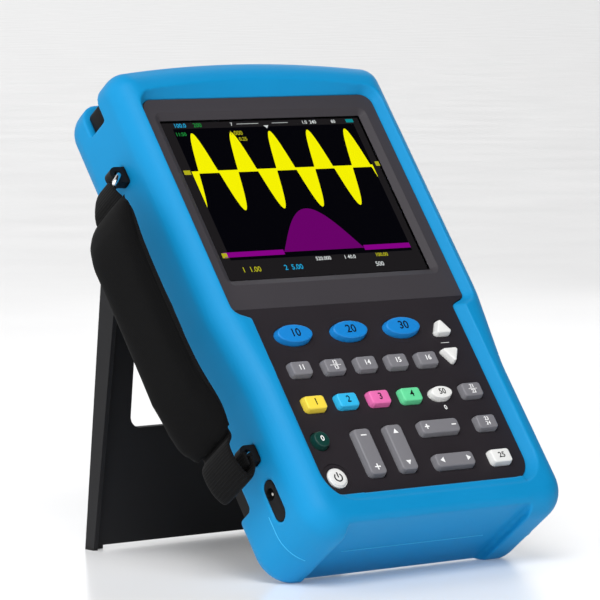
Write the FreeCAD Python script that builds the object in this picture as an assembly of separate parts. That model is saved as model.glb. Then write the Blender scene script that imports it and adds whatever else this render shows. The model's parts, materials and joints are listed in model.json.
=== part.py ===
import FreeCAD, Part
import math
import os

os.makedirs("parts", exist_ok=True)
Vector = FreeCAD.Vector

# Handheld oscilloscope, in millimetres. The pieces are drawn in the device's own frame and tilted
# at the end: x runs across the front, y runs from the front face into the device, and z runs up
# the face from the lower edge of the front panel. The face of the panel is y = 0.

# --- stance
tilt = 37.27            # lean of the device back from upright, degrees
stand_opening = 43.4    # angle of the opened kickstand from the back
heel_flat = 0.3         # depth of the moulded flat on the boot's heel
stand_height = 40.0     # height of the frame's zero above the table before the flat is cut

# --- case
case_half_width = 70.0
case_bottom = -9.0
case_top = 222.0
case_back = 45.0
case_split = 23.0       # where the front and rear case meet
case_corner = 10.0
wall = 2.2
panel_thickness = 2.2   # of both front panels
fit_gap = 0.3           # around pieces that drop into an opening
running_gap = 0.05      # radial, around pins and threads
past = 1.0              # how far a cutting tool runs past the face it cuts
boss_radius = 3.0
boss_inset = 5.5        # boss centre in from the side of the case
boss_rib = 1.2          # web that ties a boss to the side wall
middle_boss_z = 105.0
screw_radius = 1.5
screw_clearance = 0.1   # around the shaft in the rear case
screw_length = 12.0     # of the shaft ahead of the split
screw_tip_gap = 0.5
screw_head_radius = 2.8
screw_head_height = 2.0
screw_head_sink = 0.2   # head below the case's back

# --- front panels
panel_inset_side = 2.85  # upper panel in from the case's side
panel_inset_top = 7.9
panel_narrowing = 8.7    # the lower panel is that much narrower on each side
upper_half_width = case_half_width - panel_inset_side
lower_half_width = upper_half_width - panel_narrowing
panel_top = case_top - panel_inset_top
panel_step_top = 98.0    # the panel narrows between these two heights
panel_step_bottom = 94.5
panel_step_round = 3.0
panel_seam = 99.0        # joint between the upper and the lower panel
panel_seam_gap = 0.1
panel_gap = 0.15         # between panel and boot
panel_ledge = 1.3        # of the front case behind the lower panel's edge
panel_ledge_round = 3.0  # how much sharper the ledge's corners are
panel_top_corner = 6.0
panel_bottom_corner = 12.0

# --- display
display_x = -1.15
active_width = 115.2
active_height = 86.4
active_bottom = 116.2
window_margin = 0.8
window_bevel = 3.4
window_land = 0.3       # straight edge left behind the bevel
window_thickness = 0.8
lens_margin = 3.5
glass_margin = 2.6      # display glass beyond its active area
glass_gap = 0.1         # between the window and the display glass
module_frame = 0.6      # metal frame beyond the display glass
module_depth = 6.9
display_corner = 1.5

# --- keys
key_rise = 3.0          # key top above the panel
power_key_rise = 0.8    # the power key sits low in a dish
power_dish_radius = 7.4
power_dish_depth = 0.5
key_edge_round = 0.7
key_gap = 0.3           # between key and panel hole
key_flange = 0.9        # flange width behind the panel
key_flange_thickness = 1.0
key_travel = 0.9
rocker_flange_y = 2.9   # set back to leave room for the tilt
rocker_flange_thickness = 0.8
mat_front = panel_thickness + key_gap + key_flange_thickness + key_travel + fit_gap
mat_thickness = 1.0
mat_side = 2.55         # mat and keypad board beyond the lower panel's sides
mat_bottom = -1.0
mat_top_gap = 3.0       # below the seam of the panels
board_thickness = 1.6

# --- boot
boot_front = -4.5
boot_back_wall = 4.0
boot_side_wall = 9.0
boot_grip_wall = 4.0    # thinner where the hand holds it
boot_top_wall = 9.6     # at the upper corners
boot_bow = 4.1          # rise of the bowed top between its corners
boot_bottom_wall = 8.0
boot_back = case_back + boot_back_wall
boot_half_width = case_half_width + boot_side_wall
boot_grip_half_width = case_half_width + boot_grip_wall
boot_top = case_top + boot_top_wall
boot_crown = boot_top + boot_bow
boot_bottom = case_bottom - boot_bottom_wall
boot_waist_top = 100.0
boot_waist_bottom = 60.0
boot_waist_round = 60.0
boot_top_corner = 11.0
boot_bottom_corner = 16.0
boot_front_round = 12.0
boot_back_round = 8.0
boot_clearance = 0.2
lip_bevel_side = 3.8
lip_bevel_top = 6.0
top_recess = 1.7
top_recess_bow = 2.3    # how far the recess's floor drops towards its ends
top_recess_inset = 18.0 # ends of the recess in from the case's sides
bottom_recess = 2.5
bottom_recess_inset = 16.0
bay_inset = 7.0         # connector bay in from the case's sides
bay_front = 14.5
bay_back_inset = 2.0    # in from the case's back
bay_floor = 5.0         # the bay is cut that far below the case's top
bay_corner_depth = 13.5 # of the openings at the bay's ends
bay_corner_drop = 9.0   # below the case's top
top_recess_half_width = case_half_width - top_recess_inset
bottom_recess_half_width = case_half_width - bottom_recess_inset
bay_half_width = case_half_width - bay_inset
bay_back = case_back - bay_back_inset
bay_corner_back = bay_front + bay_corner_depth
bay_corner_bottom = case_top - bay_corner_drop

# --- kickstand
hinge_inset = 2.0       # hinge axis in from the case's back
hinge_drop = 42.2       # hinge axis below the case's top
hinge_y = case_back - hinge_inset
hinge_z = case_top - hinge_drop
stand_face = 6.0        # outer face of the plate from the hinge axis
plate_thickness = 3.0
plate_top_gap = 2.0     # plate ends below the hinge axis
lip_thickness = 2.2
lip_depth_top = 12.5
lip_depth_foot = 7.0
lip_straight = 20.0     # the lip keeps its full depth over this length
stand_side_gap = 0.8    # between the stand's lips and the case
stand_half_width = case_half_width + stand_side_gap + lip_thickness
ear_radius = 6.0
pin_radius = 2.0
pin_seat = 4.0          # length of the pin inside the case's side
pin_head_radius = 3.4
pin_head_height = 1.0
pin_head_gap = 0.1
pin_pad = 5.5           # half size of the pad that holds a pin
pin_pad_depth = 6.0
foot_height = 2.0
foot_width = 8.0
foot_grip = 8.0         # rubber drawn that far below the leg, before the flat is cut
stand_window_half_width = 53.5
stand_window_top = 34.0      # below the hinge, along the leg
stand_window_bottom = 101.5
stand_window_corner = 6.0
relief_gap = 1.5             # between the folded stand and the boot
relief_foot_gap = 3.0        # more room below the folded feet

# --- connectors
connector_inset = 11.5  # connectors in from the case's back
connector_y = case_back - connector_inset
bnc_spots = (-44.0, -20.0)
bnc_barrel_radius = 4.8
bnc_bore_radius = 4.05
bnc_barrel_length = 12.0
bnc_flange_radius = 7.2
bnc_flange_height = 1.6
bnc_thread_radius = 4.7
bnc_thread_length = 10.0
bnc_floor = 3.0         # solid part of the barrel above its flange
bnc_core_radius = 2.3
bnc_core_length = 7.0
bnc_contact_radius = 0.6
bnc_lug_radius = 1.0
bnc_lug_height = 0.9
bnc_lug_drop = 4.0      # below the barrel's mouth
socket_radius = 2.0
socket_wall = 0.6
socket_pitch = 19.05
socket_first_x = 13.0
socket_length = 22.0
socket_block_margin = 8.0
socket_block_depth = 15.0
socket_block_rise = 9.0
socket_block_ledge = 1.5
socket_block_round = 2.0
socket_floor = 1.0
shank_gap = 0.1
inlet_y = 17.8
inlet_z = 15.5
inlet_bore = 2.75
inlet_pin = 1.05
inlet_collar = 3.9
inlet_length = 14.0
inlet_depth = 9.5       # of the bore
inlet_pin_inset = 1.0
inlet_body = 4.6        # half size of the jack's body
inlet_body_tail = 2.0
inlet_slot_width = 8.6
inlet_slot_length = 20.6
inlet_slot_z = 11.7

# --- inner pieces
main_board_gap = 1.5    # behind the split of the case
main_board_y = case_split + main_board_gap
main_board_inset = 9.0  # in from the case's sides
main_board_half_width = case_half_width - main_board_inset
main_board_bottom = case_bottom + wall + 6.0
main_board_top = case_top - wall - 14.0
post_inset = 7.0        # board posts in from the board's sides
post_end_inset = 8.8    # and from its ends
shield_left = -56.0
shield_right = -6.0
shield_bottom = 150.0
shield_top = 198.0
shield_height = 8.0
shield_wall = 0.5
flex_left = 8.0
flex_width = 24.0
flex_thickness = 0.4
flex_reach = 5.0        # behind the display before it turns down
flex_top = 126.0
flex_bottom = 118.0
buzzer_x = 42.0
buzzer_z = 150.0
buzzer_radius = 6.0
buzzer_height = 5.0
vent_count = 6
vent_bottom = 108.0
vent_pitch = 6.0
vent_half_width = 22.0
vent_half_height = 1.1
battery_half_width = 40.0
battery_corner = 3.0
battery_bottom = 22.0
battery_height = 68.0
battery_depth = 14.0
door_margin = 5.0
door_corner = 4.0
door_ledge = 3.0
door_ledge_outside = 2.0
door_screw_inset = 4.0
door_screw_radius = 1.2
door_screw_length = 4.5
door_screw_head = 1.2
door_screw_gap = 0.2

# --- hand strap
strap_y = 17.8
pad_width = 42.0
pad_thickness = 8.0
pad_bow = 24.5          # the pad's outer face from the boot's side
pad_end_bow = 13.5      # and the pad's ends
pad_outer_x = -boot_half_width - pad_bow
pad_end_x = -boot_half_width - pad_end_bow
ring_radius = 5.5
ring_wire = 1.2
ring_top_z = 184.0
ring_bottom_z = 35.0
pad_top = ring_top_z - 15.0
pad_bottom = ring_bottom_z + 2.0
pad_end_half = 4.0
pad_end_tip = 2.5
pad_end_slope = 5.0
pad_end_round = 2.0
pad_shoulder = 24.0     # length of the sloping end, on the outside
pad_shoulder_round = 20.0
pad_inner_shoulder = 28.0
pad_inner_round = 14.0
lug_reach = 4.5         # ring hole out from the boot's side
lug_half_width = 2.5
lug_hole = 2.0
lug_margin = 2.2
webbing_width = 24.0
webbing_neck = 9.0
webbing_thickness = 2.6
webbing_clear = 1.2     # webbing's end from the wire of the upper ring
loop_width = 8.5
loop_drop = 8.0
loop_round = 5.5
loop_offset = 1.7       # loop below the wire of the lower ring


def block(x0, x1, y0, y1, z0, z1):
    return Part.makeBox(x1 - x0, y1 - y0, z1 - z0, Vector(x0, y0, z0))


def rod(radius, start, direction, length):
    return Part.makeCylinder(radius, length, Vector(*start), Vector(*direction))


def outline(corners, level, sags=()):
    """A closed wire at depth y = level. corners are (x, z, radius); sags bow an edge outwards."""
    count = len(corners)
    arcs = []
    for i, (x, z, radius) in enumerate(corners):
        here = Vector(x, level, z)
        before = Vector(corners[i - 1][0], level, corners[i - 1][1]) - here
        after = Vector(corners[(i + 1) % count][0], level, corners[(i + 1) % count][1]) - here
        before.normalize()
        after.normalize()
        half = before.getAngle(after) / 2
        cut = radius / math.tan(half)
        middle = before + after
        middle.normalize()
        centre = here + middle * (radius / math.sin(half))
        arcs.append((here + before * cut, centre - middle * radius, here + after * cut))
    edges = []
    bow = dict(sags)
    for i in range(count):
        start, middle, end = arcs[i]
        edges.append(Part.Arc(start, middle, end).toShape())
        following = arcs[(i + 1) % count][0]
        if i in bow:
            along = following - end
            out = Vector(-along.z, 0, along.x)
            out.normalize()
            edges.append(Part.Arc(end, (end + following) * 0.5 + out * bow[i], following).toShape())
        else:
            edges.append(Part.LineSegment(end, following).toShape())
    return Part.Wire(edges)


def slab(corners, y0, y1, sags=()):
    face = Part.Face(outline(corners, y0, sags))
    return face.extrude(Vector(0, y1 - y0, 0))


def rounded_rectangle(x0, x1, z0, z1, radius):
    return [(x0, z0, radius), (x0, z1, radius), (x1, z1, radius), (x1, z0, radius)]


def grown(corners, amount):
    """The same outline moved outwards all round. The corners run clockwise from the lower left."""
    count = len(corners)
    result = []
    for i, (x, z, radius) in enumerate(corners):
        back = Vector(x - corners[i - 1][0], 0, z - corners[i - 1][1])
        ahead = Vector(corners[(i + 1) % count][0] - x, 0, corners[(i + 1) % count][1] - z)
        back.normalize()
        ahead.normalize()
        normal_back = Vector(-back.z, 0, back.x)
        normal_ahead = Vector(-ahead.z, 0, ahead.x)
        mitre = normal_back + normal_ahead
        mitre = mitre * (amount / (1 + normal_back.dot(normal_ahead)))
        turn = back.cross(ahead).y
        new_radius = radius + amount if turn > 0 else radius - amount
        result.append((x + mitre.x, z + mitre.z, max(new_radius, 0.4)))
    return result


case_corners = rounded_rectangle(
    -case_half_width, case_half_width, case_bottom, case_top, case_corner
)
panel_corners = [
    (-lower_half_width, 0.0, panel_bottom_corner),
    (-lower_half_width, panel_step_bottom, panel_step_round),
    (-upper_half_width, panel_step_top, panel_step_round),
    (-upper_half_width, panel_top, panel_top_corner),
    (upper_half_width, panel_top, panel_top_corner),
    (upper_half_width, panel_step_top, panel_step_round),
    (lower_half_width, panel_step_bottom, panel_step_round),
    (lower_half_width, 0.0, panel_bottom_corner),
]
boot_corners = [
    (-boot_grip_half_width, boot_bottom, boot_bottom_corner),
    (-boot_grip_half_width, boot_waist_bottom, boot_waist_round),
    (-boot_half_width, boot_waist_top, boot_waist_round),
    (-boot_half_width, boot_top, boot_top_corner),
    (boot_half_width, boot_top, boot_top_corner),
    (boot_half_width, boot_waist_top, boot_waist_round),
    (boot_grip_half_width, boot_waist_bottom, boot_waist_round),
    (boot_grip_half_width, boot_bottom, boot_bottom_corner),
]
boot_sags = ((3, boot_bow),)
boss_spots = [
    (side * (case_half_width - boss_inset), z)
    for side in (-1, 1)
    for z in (case_bottom + boss_inset, middle_boss_z, case_top - boss_inset)
]
display_left = display_x - active_width / 2
display_right = display_x + active_width / 2
active_top = active_bottom + active_height


def display_area(margin, radius):
    return rounded_rectangle(
        display_left - margin,
        display_right + margin,
        active_bottom - margin,
        active_top + margin,
        radius,
    )


parts = {}

# --- keys: name, centre x, centre z, width, height, corner radius, and the axis of a rocker
key_size = (12.0, 8.0, 2.0)
key_pitch = 18.3
triangle_round = 1.6
keys = []
for i, x in enumerate((-40.5, -8.8, 21.9)):
    keys.append((f"mode_key_{i + 1}", x, 83.6, 20.5, 10.5, 5.2, None))
for i, x in enumerate((-45.4, -26.4, -8.1, 9.8, 27.4)):
    keys.append((f"menu_key_{i + 1}", x, 65.6, *key_size, None))
for i, name in enumerate(("yellow_key", "cyan_key", "pink_key", "mint_key")):
    keys.append((name, -46.0 + i * key_pitch, 47.6, *key_size, None))
keys.append(("trigger_level_key", 26.6, 47.4, 13.0, 7.5, 3.7, None))
keys.append(("run_key", 44.8, 47.5, *key_size, None))
keys.append(("user_key", -51.4, 29.0, 9.0, 9.0, 4.4, None))
keys.append(("power_key", -50.2, 10.2, 10.0, 10.0, 4.9, None))
keys.append(("volts_rocker", -28.3, 20.6, 10.0, 24.5, 2.4, "x"))
keys.append(("position_rocker", -10.0, 21.2, 10.0, 24.5, 2.4, "x"))
keys.append(("time_rocker", 16.7, 30.1, 23.0, 8.0, 2.4, "z"))
keys.append(("scroll_rocker", 16.7, 12.5, 23.0, 8.0, 2.4, "z"))
keys.append(("single_key", 44.6, 30.2, *key_size, None))
keys.append(("auto_key", 43.8, 12.1, *key_size, None))
triangles = (("level_up_key", 44.3, 82.6, 1), ("level_down_key", 43.0, 66.0, -1))
triangle_width = 12.5
triangle_height = 9.5


def key_outline(x, z, width, height, radius, extra):
    radius = min(radius + extra, min(width, height) / 2 + extra - 0.05)
    return rounded_rectangle(
        x - width / 2 - extra,
        x + width / 2 + extra,
        z - height / 2 - extra,
        z + height / 2 + extra,
        max(radius, 0.4),
    )


def triangle_outline(x, z, way, extra):
    half = triangle_width / 2
    rise = triangle_height / 2
    base = z - way * rise
    points = [(x - half, base), (x, z + way * rise), (x + half, base)]
    points = [(px, pz, triangle_round) for px, pz in points]
    if way < 0:
        points.reverse()
    return grown(points, extra) if extra else points


def key_cap(shape_at, flange_y, flange_thickness, rise=key_rise):
    """A cap with a softened top edge, passing through the panel to a retaining flange."""
    cap = slab(shape_at(0.0), -rise, flange_y)
    top = [e for e in cap.Edges if abs(e.BoundBox.YMin + rise) < 1e-3 and e.BoundBox.YLength < 1e-3]
    cap = cap.makeFillet(key_edge_round, top)
    flange = slab(shape_at(key_flange), flange_y, flange_y + flange_thickness)
    return cap.fuse(flange).removeSplitter()


key_holes = []
for name, x, z, width, height, radius, rocker in keys:
    at = lambda extra, x=x, z=z, w=width, h=height, r=radius: key_outline(x, z, w, h, r, extra)
    if rocker:
        parts[name] = key_cap(at, rocker_flange_y, rocker_flange_thickness)
    else:
        rise = power_key_rise if name == "power_key" else key_rise
        parts[name] = key_cap(at, panel_thickness + key_gap, key_flange_thickness, rise)
    key_holes.append(slab(at(key_gap), -past, panel_thickness + past))
for name, x, z, way in triangles:
    at = lambda extra, x=x, z=z, way=way: triangle_outline(x, z, way, extra)
    parts[name] = key_cap(at, panel_thickness + key_gap, key_flange_thickness)
    key_holes.append(slab(at(key_gap), -past, panel_thickness + past))

# --- front panels
whole_panel = slab(grown(panel_corners, -panel_gap), 0.0, panel_thickness)
window = display_area(window_margin, 0.8)
bevel = Part.makeLoft(
    [
        outline(grown(window, window_bevel), -0.001),
        outline(window, panel_thickness - window_land),
    ],
    True,
    True,
)
panel_span = (-case_half_width, case_half_width, -past, panel_thickness + past)
upper_cut = block(*panel_span, panel_seam, case_top)
lower_cut = block(*panel_span, case_bottom, panel_seam - panel_seam_gap)
bezel = whole_panel.common(upper_cut).cut(bevel)
parts["display_bezel"] = bezel.cut(slab(window, -past, panel_thickness + past))
keypad_panel = whole_panel.common(lower_cut).cut(Part.makeCompound(key_holes))
power_x, power_z = [(k[1], k[2]) for k in keys if k[0] == "power_key"][0]
power_dish = rod(power_dish_radius, (power_x, -past, power_z), (0, 1, 0), past + power_dish_depth)
parts["keypad_panel"] = keypad_panel.cut(power_dish)
lens = display_area(lens_margin, display_corner)
lens_back = panel_thickness + window_thickness
parts["display_window"] = slab(lens, panel_thickness, lens_back)

# --- case halves
inner_corners = grown(case_corners, -wall)
front_inside = panel_thickness + wall
back_inside = case_back - wall
front_case = slab(case_corners, panel_thickness, case_split)
front_case = front_case.cut(slab(inner_corners, front_inside, case_split + past))
front_case = front_case.cut(slab(grown(lens, fit_gap), 0.0, front_inside + past))
keypad_opening = rounded_rectangle(
    -lower_half_width + panel_ledge,
    lower_half_width - panel_ledge,
    panel_ledge,
    panel_step_bottom - panel_ledge,
    panel_bottom_corner - panel_ledge_round,
)
front_case = front_case.cut(slab(keypad_opening, 0.0, front_inside + past))
rear_case = slab(case_corners, case_split, case_back)
rear_case = rear_case.cut(slab(inner_corners, case_split - past, back_inside))
screws = []
case_inside = slab(case_corners, panel_thickness, case_back)
inward = (0, 1, 0)
shaft_start = case_split - screw_length
shaft_length = case_back - screw_head_height - shaft_start
head_start = case_back - screw_head_height - screw_head_sink


# a screw boss from one depth to another, tied to the side wall by a rib
def boss(x, z, start, end):
    side_x = math.copysign(case_half_width, x)
    rib = block(min(x, side_x), max(x, side_x), start, end, z - boss_rib / 2, z + boss_rib / 2)
    return rod(boss_radius, (x, start, z), inward, end - start).fuse(rib).common(case_inside)


for x, z in boss_spots:
    front_case = front_case.fuse(boss(x, z, front_inside, case_split))
    rear_case = rear_case.fuse(boss(x, z, case_split, back_inside))
    shaft = rod(screw_radius, (x, shaft_start, z), inward, shaft_length)
    head = rod(screw_head_radius, (x, head_start, z), inward, screw_head_height)
    screws.append(shaft.fuse(head).removeSplitter())
    front_case = front_case.cut(rod(screw_radius, (x, shaft_start - screw_tip_gap, z), inward, case_back))
    rear_hole = rod(screw_radius + screw_clearance, (x, case_split - past, z), inward, case_back)
    rear_case = rear_case.cut(rear_hole)
    rear_case = rear_case.cut(rod(screw_head_radius + fit_gap, (x, head_start, z), inward, case_back))
parts["case_screws"] = Part.makeCompound(screws)

# --- battery bay and door
door = rounded_rectangle(
    -battery_half_width - door_margin,
    battery_half_width + door_margin,
    battery_bottom - door_margin,
    battery_bottom + battery_height + door_margin,
    door_corner,
)
bay = rounded_rectangle(
    -battery_half_width - door_margin + door_ledge,
    battery_half_width + door_margin - door_ledge,
    battery_bottom - door_margin + door_ledge,
    battery_bottom + battery_height + door_margin - door_ledge,
    battery_corner,
)
ledge = slab(grown(door, door_ledge_outside), back_inside - wall, back_inside)
ledge = ledge.cut(slab(bay, 0, case_back))
rear_case = rear_case.cut(slab(grown(door, fit_gap), back_inside - past, case_back + past))
rear_case = rear_case.fuse(ledge)
rear_case = rear_case.cut(slab(grown(door, fit_gap), back_inside, case_back + past))
door_plate = slab(door, back_inside, case_back)
door_screws = []
door_screw_rows = (
    battery_bottom - door_margin + door_screw_inset,
    battery_bottom + battery_height + door_margin - door_screw_inset,
)
start = case_back - door_screw_length
head_start = case_back - door_screw_head
head_radius = 2 * door_screw_radius
for side in (-1, 1):
    for z in door_screw_rows:
        x = side * (battery_half_width + door_margin - door_screw_inset)
        shaft = rod(door_screw_radius, (x, start, z), inward, door_screw_length)
        head = rod(head_radius, (x, head_start, z), inward, door_screw_head)
        door_screws.append(shaft.fuse(head).removeSplitter())
        rear_case = rear_case.cut(rod(door_screw_radius, (x, start, z), inward, case_back))
        door_plate = door_plate.cut(rod(door_screw_radius + door_screw_gap, (x, start, z), inward, case_back))
        door_plate = door_plate.cut(rod(head_radius + door_screw_gap, (x, head_start, z), inward, case_back))
parts["battery_door"] = door_plate
parts["battery_door_screws"] = Part.makeCompound(door_screws)
battery_corners = rounded_rectangle(
    -battery_half_width, battery_half_width, battery_bottom, battery_bottom + battery_height, battery_corner
)
battery_back = back_inside - fit_gap
parts["battery_pack"] = slab(battery_corners, battery_back - battery_depth, battery_back)

# --- vents through the back, above the battery door
for i in range(vent_count):
    z = vent_bottom + vent_pitch * i
    slot = rounded_rectangle(
        -vent_half_width, vent_half_width, z - vent_half_height, z + vent_half_height, vent_half_height - 0.05
    )
    rear_case = rear_case.cut(slab(slot, back_inside - past, case_back + past))

# --- boards and what is on them
main_board = block(
    -main_board_half_width,
    main_board_half_width,
    main_board_y,
    main_board_y + board_thickness,
    main_board_bottom,
    main_board_top,
)
post_start = main_board_y + board_thickness
for side in (-1, 1):
    for z in (main_board_bottom + post_end_inset, main_board_top - post_end_inset):
        x = side * (main_board_half_width - post_inset)
        post = rod(boss_radius, (x, post_start, z), inward, back_inside - post_start)
        rear_case = rear_case.fuse(post)
parts["main_board"] = main_board
mat_half_width = lower_half_width + mat_side
mat_top = panel_seam - mat_top_gap
board_front = mat_front + mat_thickness
parts["keypad_mat"] = block(-mat_half_width, mat_half_width, mat_front, board_front, mat_bottom, mat_top)
parts["keypad_board"] = block(
    -mat_half_width, mat_half_width, board_front, board_front + board_thickness, mat_bottom, mat_top
)
frame_start = front_inside + 2 * glass_gap
module_back = frame_start + module_depth
glass = slab(display_area(glass_margin, 1.0), lens_back + glass_gap, frame_start)
module = slab(display_area(glass_margin + module_frame, display_corner), frame_start, module_back)
parts["display_module"] = glass.fuse(module).removeSplitter()
shield_front = main_board_y - shield_height
shield = block(shield_left, shield_right, shield_front, main_board_y, shield_bottom, shield_top)
shield_inside = block(
    shield_left + shield_wall,
    shield_right - shield_wall,
    shield_front + shield_wall,
    main_board_y,
    shield_bottom + shield_wall,
    shield_top - shield_wall,
)
parts["input_shield"] = shield.cut(shield_inside)
flex_turn = module_back + flex_reach
flex_lower = [
    (module_back, flex_top),
    (flex_turn, flex_top),
    (flex_turn, flex_bottom),
    (main_board_y, flex_bottom),
]
flex_upper = [
    (main_board_y, flex_bottom + flex_thickness),
    (flex_turn + flex_thickness, flex_bottom + flex_thickness),
    (flex_turn + flex_thickness, flex_top + flex_thickness),
    (module_back, flex_top + flex_thickness),
]
flex_points = [Vector(flex_left, y, z) for y, z in flex_lower + flex_upper + flex_lower[:1]]
parts["display_cable"] = Part.Face(Part.makePolygon(flex_points)).extrude(Vector(flex_width, 0, 0))
buzzer_start = (buzzer_x, main_board_y - buzzer_height, buzzer_z)
parts["buzzer"] = rod(buzzer_radius, buzzer_start, inward, buzzer_height)

# --- coaxial inputs
for name, x in zip(("signal_input_1", "signal_input_2"), bnc_spots):
    foot = (x, connector_y, case_top)
    body = rod(bnc_flange_radius, foot, (0, 0, 1), bnc_flange_height)
    barrel_start = (x, connector_y, case_top + bnc_flange_height)
    body = body.fuse(rod(bnc_barrel_radius, barrel_start, (0, 0, 1), bnc_barrel_length))
    for way in (-1, 1):
        lug_at = (x, connector_y, case_top + bnc_flange_height + bnc_barrel_length - bnc_lug_drop)
        body = body.fuse(rod(bnc_lug_radius, lug_at, (way, 0, 0), bnc_barrel_radius + bnc_lug_height))
    bore_start = (x, connector_y, case_top + bnc_flange_height + bnc_floor)
    body = body.cut(rod(bnc_bore_radius, bore_start, (0, 0, 1), bnc_barrel_length))
    body = body.fuse(rod(bnc_core_radius, bore_start, (0, 0, 1), bnc_core_length))
    body = body.cut(rod(bnc_contact_radius, bore_start, (0, 0, 1), bnc_barrel_length))
    thread_start = (x, connector_y, case_top)
    body = body.fuse(rod(bnc_thread_radius, thread_start, (0, 0, -1), bnc_thread_length))
    parts[name] = body.removeSplitter()
    hole_start = (x, connector_y, case_top - wall - past)
    rear_case = rear_case.cut(rod(bnc_thread_radius + running_gap, hole_start, (0, 0, 1), wall + 2 * past))

# --- meter sockets in their block
socket_xs = [socket_first_x + i * socket_pitch for i in range(3)]
block_x0 = socket_xs[0] - socket_block_margin
block_x1 = socket_xs[-1] + socket_block_margin
block_y0 = connector_y - socket_block_depth / 2
block_y1 = connector_y + socket_block_depth / 2
socket_top = case_top + socket_block_rise
socket_block = block(block_x0, block_x1, block_y0, block_y1, case_top, socket_top)
upright = [e for e in socket_block.Edges if e.BoundBox.ZLength > 1]
socket_block = socket_block.makeFillet(socket_block_round, upright)
shank_corners = (
    block_x0 + socket_block_ledge,
    block_x1 - socket_block_ledge,
    block_y0 + socket_block_ledge,
    block_y1 - socket_block_ledge,
)
shank = block(*shank_corners, socket_top - socket_length, case_top)
socket_block = socket_block.fuse(shank)
sockets = []
for x in socket_xs:
    mouth = (x, connector_y, socket_top)
    outer = rod(socket_radius + socket_wall, mouth, (0, 0, -1), socket_length)
    sockets.append(outer.cut(rod(socket_radius, mouth, (0, 0, -1), socket_length - socket_floor)))
    socket_block = socket_block.cut(outer)
parts["meter_socket_block"] = socket_block.removeSplitter()
parts["meter_sockets"] = Part.makeCompound(sockets)
rear_case = rear_case.cut(
    block(
        shank_corners[0] - shank_gap,
        shank_corners[1] + shank_gap,
        shank_corners[2] - shank_gap,
        shank_corners[3] + shank_gap,
        case_top - wall - past,
        case_top + past,
    )
)

# --- power inlet on the left side
inlet_face = -case_half_width
collar = rod(inlet_collar, (inlet_face, inlet_y, inlet_z), (1, 0, 0), inlet_length)
jack_body = block(
    inlet_face + wall + boot_clearance,
    inlet_face + inlet_length + inlet_body_tail,
    inlet_y - inlet_body,
    main_board_y,
    inlet_z - inlet_body,
    inlet_z + inlet_body,
)
jack = collar.fuse(jack_body).cut(rod(inlet_bore, (inlet_face, inlet_y, inlet_z), (1, 0, 0), inlet_depth))
pin_start = (inlet_face + inlet_pin_inset, inlet_y, inlet_z)
parts["power_inlet"] = jack.fuse(rod(inlet_pin, pin_start, (1, 0, 0), inlet_depth))
inlet_hole = rod(
    inlet_collar + running_gap, (inlet_face - past, inlet_y, inlet_z), (1, 0, 0), wall + 2 * past
)
front_case = front_case.cut(inlet_hole)

# --- boot


def rounded_sections(radius, level, way, steps, amounts):
    """Outlines of a rounded edge, from the flat face at level towards the full width."""
    wires = []
    for i in range(steps + 1):
        angle = math.pi / 2 * i / steps
        inset = radius * (1 - math.sin(angle))
        depth = level + way * radius * (1 - math.cos(angle))
        wires.append(outline(grown(boot_corners, -inset), depth, amounts))
    return wires


front_wires = rounded_sections(boot_front_round, boot_front, 1, 4, boot_sags)
back_wires = rounded_sections(boot_back_round, boot_back, -1, 3, boot_sags)
boot = Part.makeLoft(front_wires + back_wires[::-1], True, True)
cavity = grown(case_corners, boot_clearance)
boot = boot.cut(slab(cavity, panel_thickness, case_back + boot_clearance))
boot = boot.cut(slab(panel_corners, boot_front - past, panel_thickness + past))
bevel_corners = grown(panel_corners, lip_bevel_side)
bevel_corners = [
    (x, z + (lip_bevel_top - lip_bevel_side if z > panel_top else 0), radius)
    for x, z, radius in bevel_corners
]
lip = Part.makeLoft([outline(panel_corners, 0.001), outline(bevel_corners, boot_front)], True, True)
boot = boot.cut(lip)

# recesses between the corner bumpers
recess_crown = boot_crown - top_recess
recess_end = recess_crown - top_recess_bow
tool_front = boot_front - past
tool_depth = boot_back - boot_front + 2 * past
recess_left = Vector(-top_recess_half_width, tool_front, recess_end)
recess_right = Vector(top_recess_half_width, tool_front, recess_end)
recess_floor = Part.Arc(recess_left, Vector(0, tool_front, recess_crown), recess_right).toShape()
recess_sides = Part.makePolygon(
    [
        recess_right,
        Vector(top_recess_half_width, tool_front, boot_crown + past),
        Vector(-top_recess_half_width, tool_front, boot_crown + past),
        recess_left,
    ]
)
recess = Part.Face(Part.Wire([recess_floor] + recess_sides.Edges))
boot = boot.cut(recess.extrude(Vector(0, tool_depth, 0)))
boot = boot.cut(
    block(
        -bottom_recess_half_width,
        bottom_recess_half_width,
        tool_front,
        tool_front + tool_depth,
        boot_bottom - past,
        boot_bottom + bottom_recess,
    )
)

# connector bay, open at both upper corners
beyond = boot_half_width + past
bay_top = boot_crown + past
boot = boot.cut(block(-bay_half_width, bay_half_width, bay_front, bay_back, case_top - bay_floor, bay_top))
boot = boot.cut(block(-beyond, beyond, bay_front, bay_corner_back, bay_corner_bottom, bay_top))

# slot for the power inlet
slot_radius = inlet_slot_width / 2 - 0.05
slot_block = block(
    -beyond,
    -case_half_width + past,
    inlet_y - inlet_slot_width / 2,
    inlet_y + inlet_slot_width / 2,
    inlet_slot_z - inlet_slot_length / 2,
    inlet_slot_z + inlet_slot_length / 2,
)
slot_edges = [e for e in slot_block.Edges if e.BoundBox.XLength > 1]
boot = boot.cut(slot_block.makeFillet(slot_radius, slot_edges))

# --- table plane, in the device's frame
turn = math.radians(tilt)
down = Vector(0, math.sin(turn), -math.cos(turn))
table_drop = stand_height - heel_flat
table = Part.makeBox(600, 600, 200, Vector(-300, -300, -table_drop - 200))
table.rotate(Vector(0, 0, 0), Vector(1, 0, 0), tilt)

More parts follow.
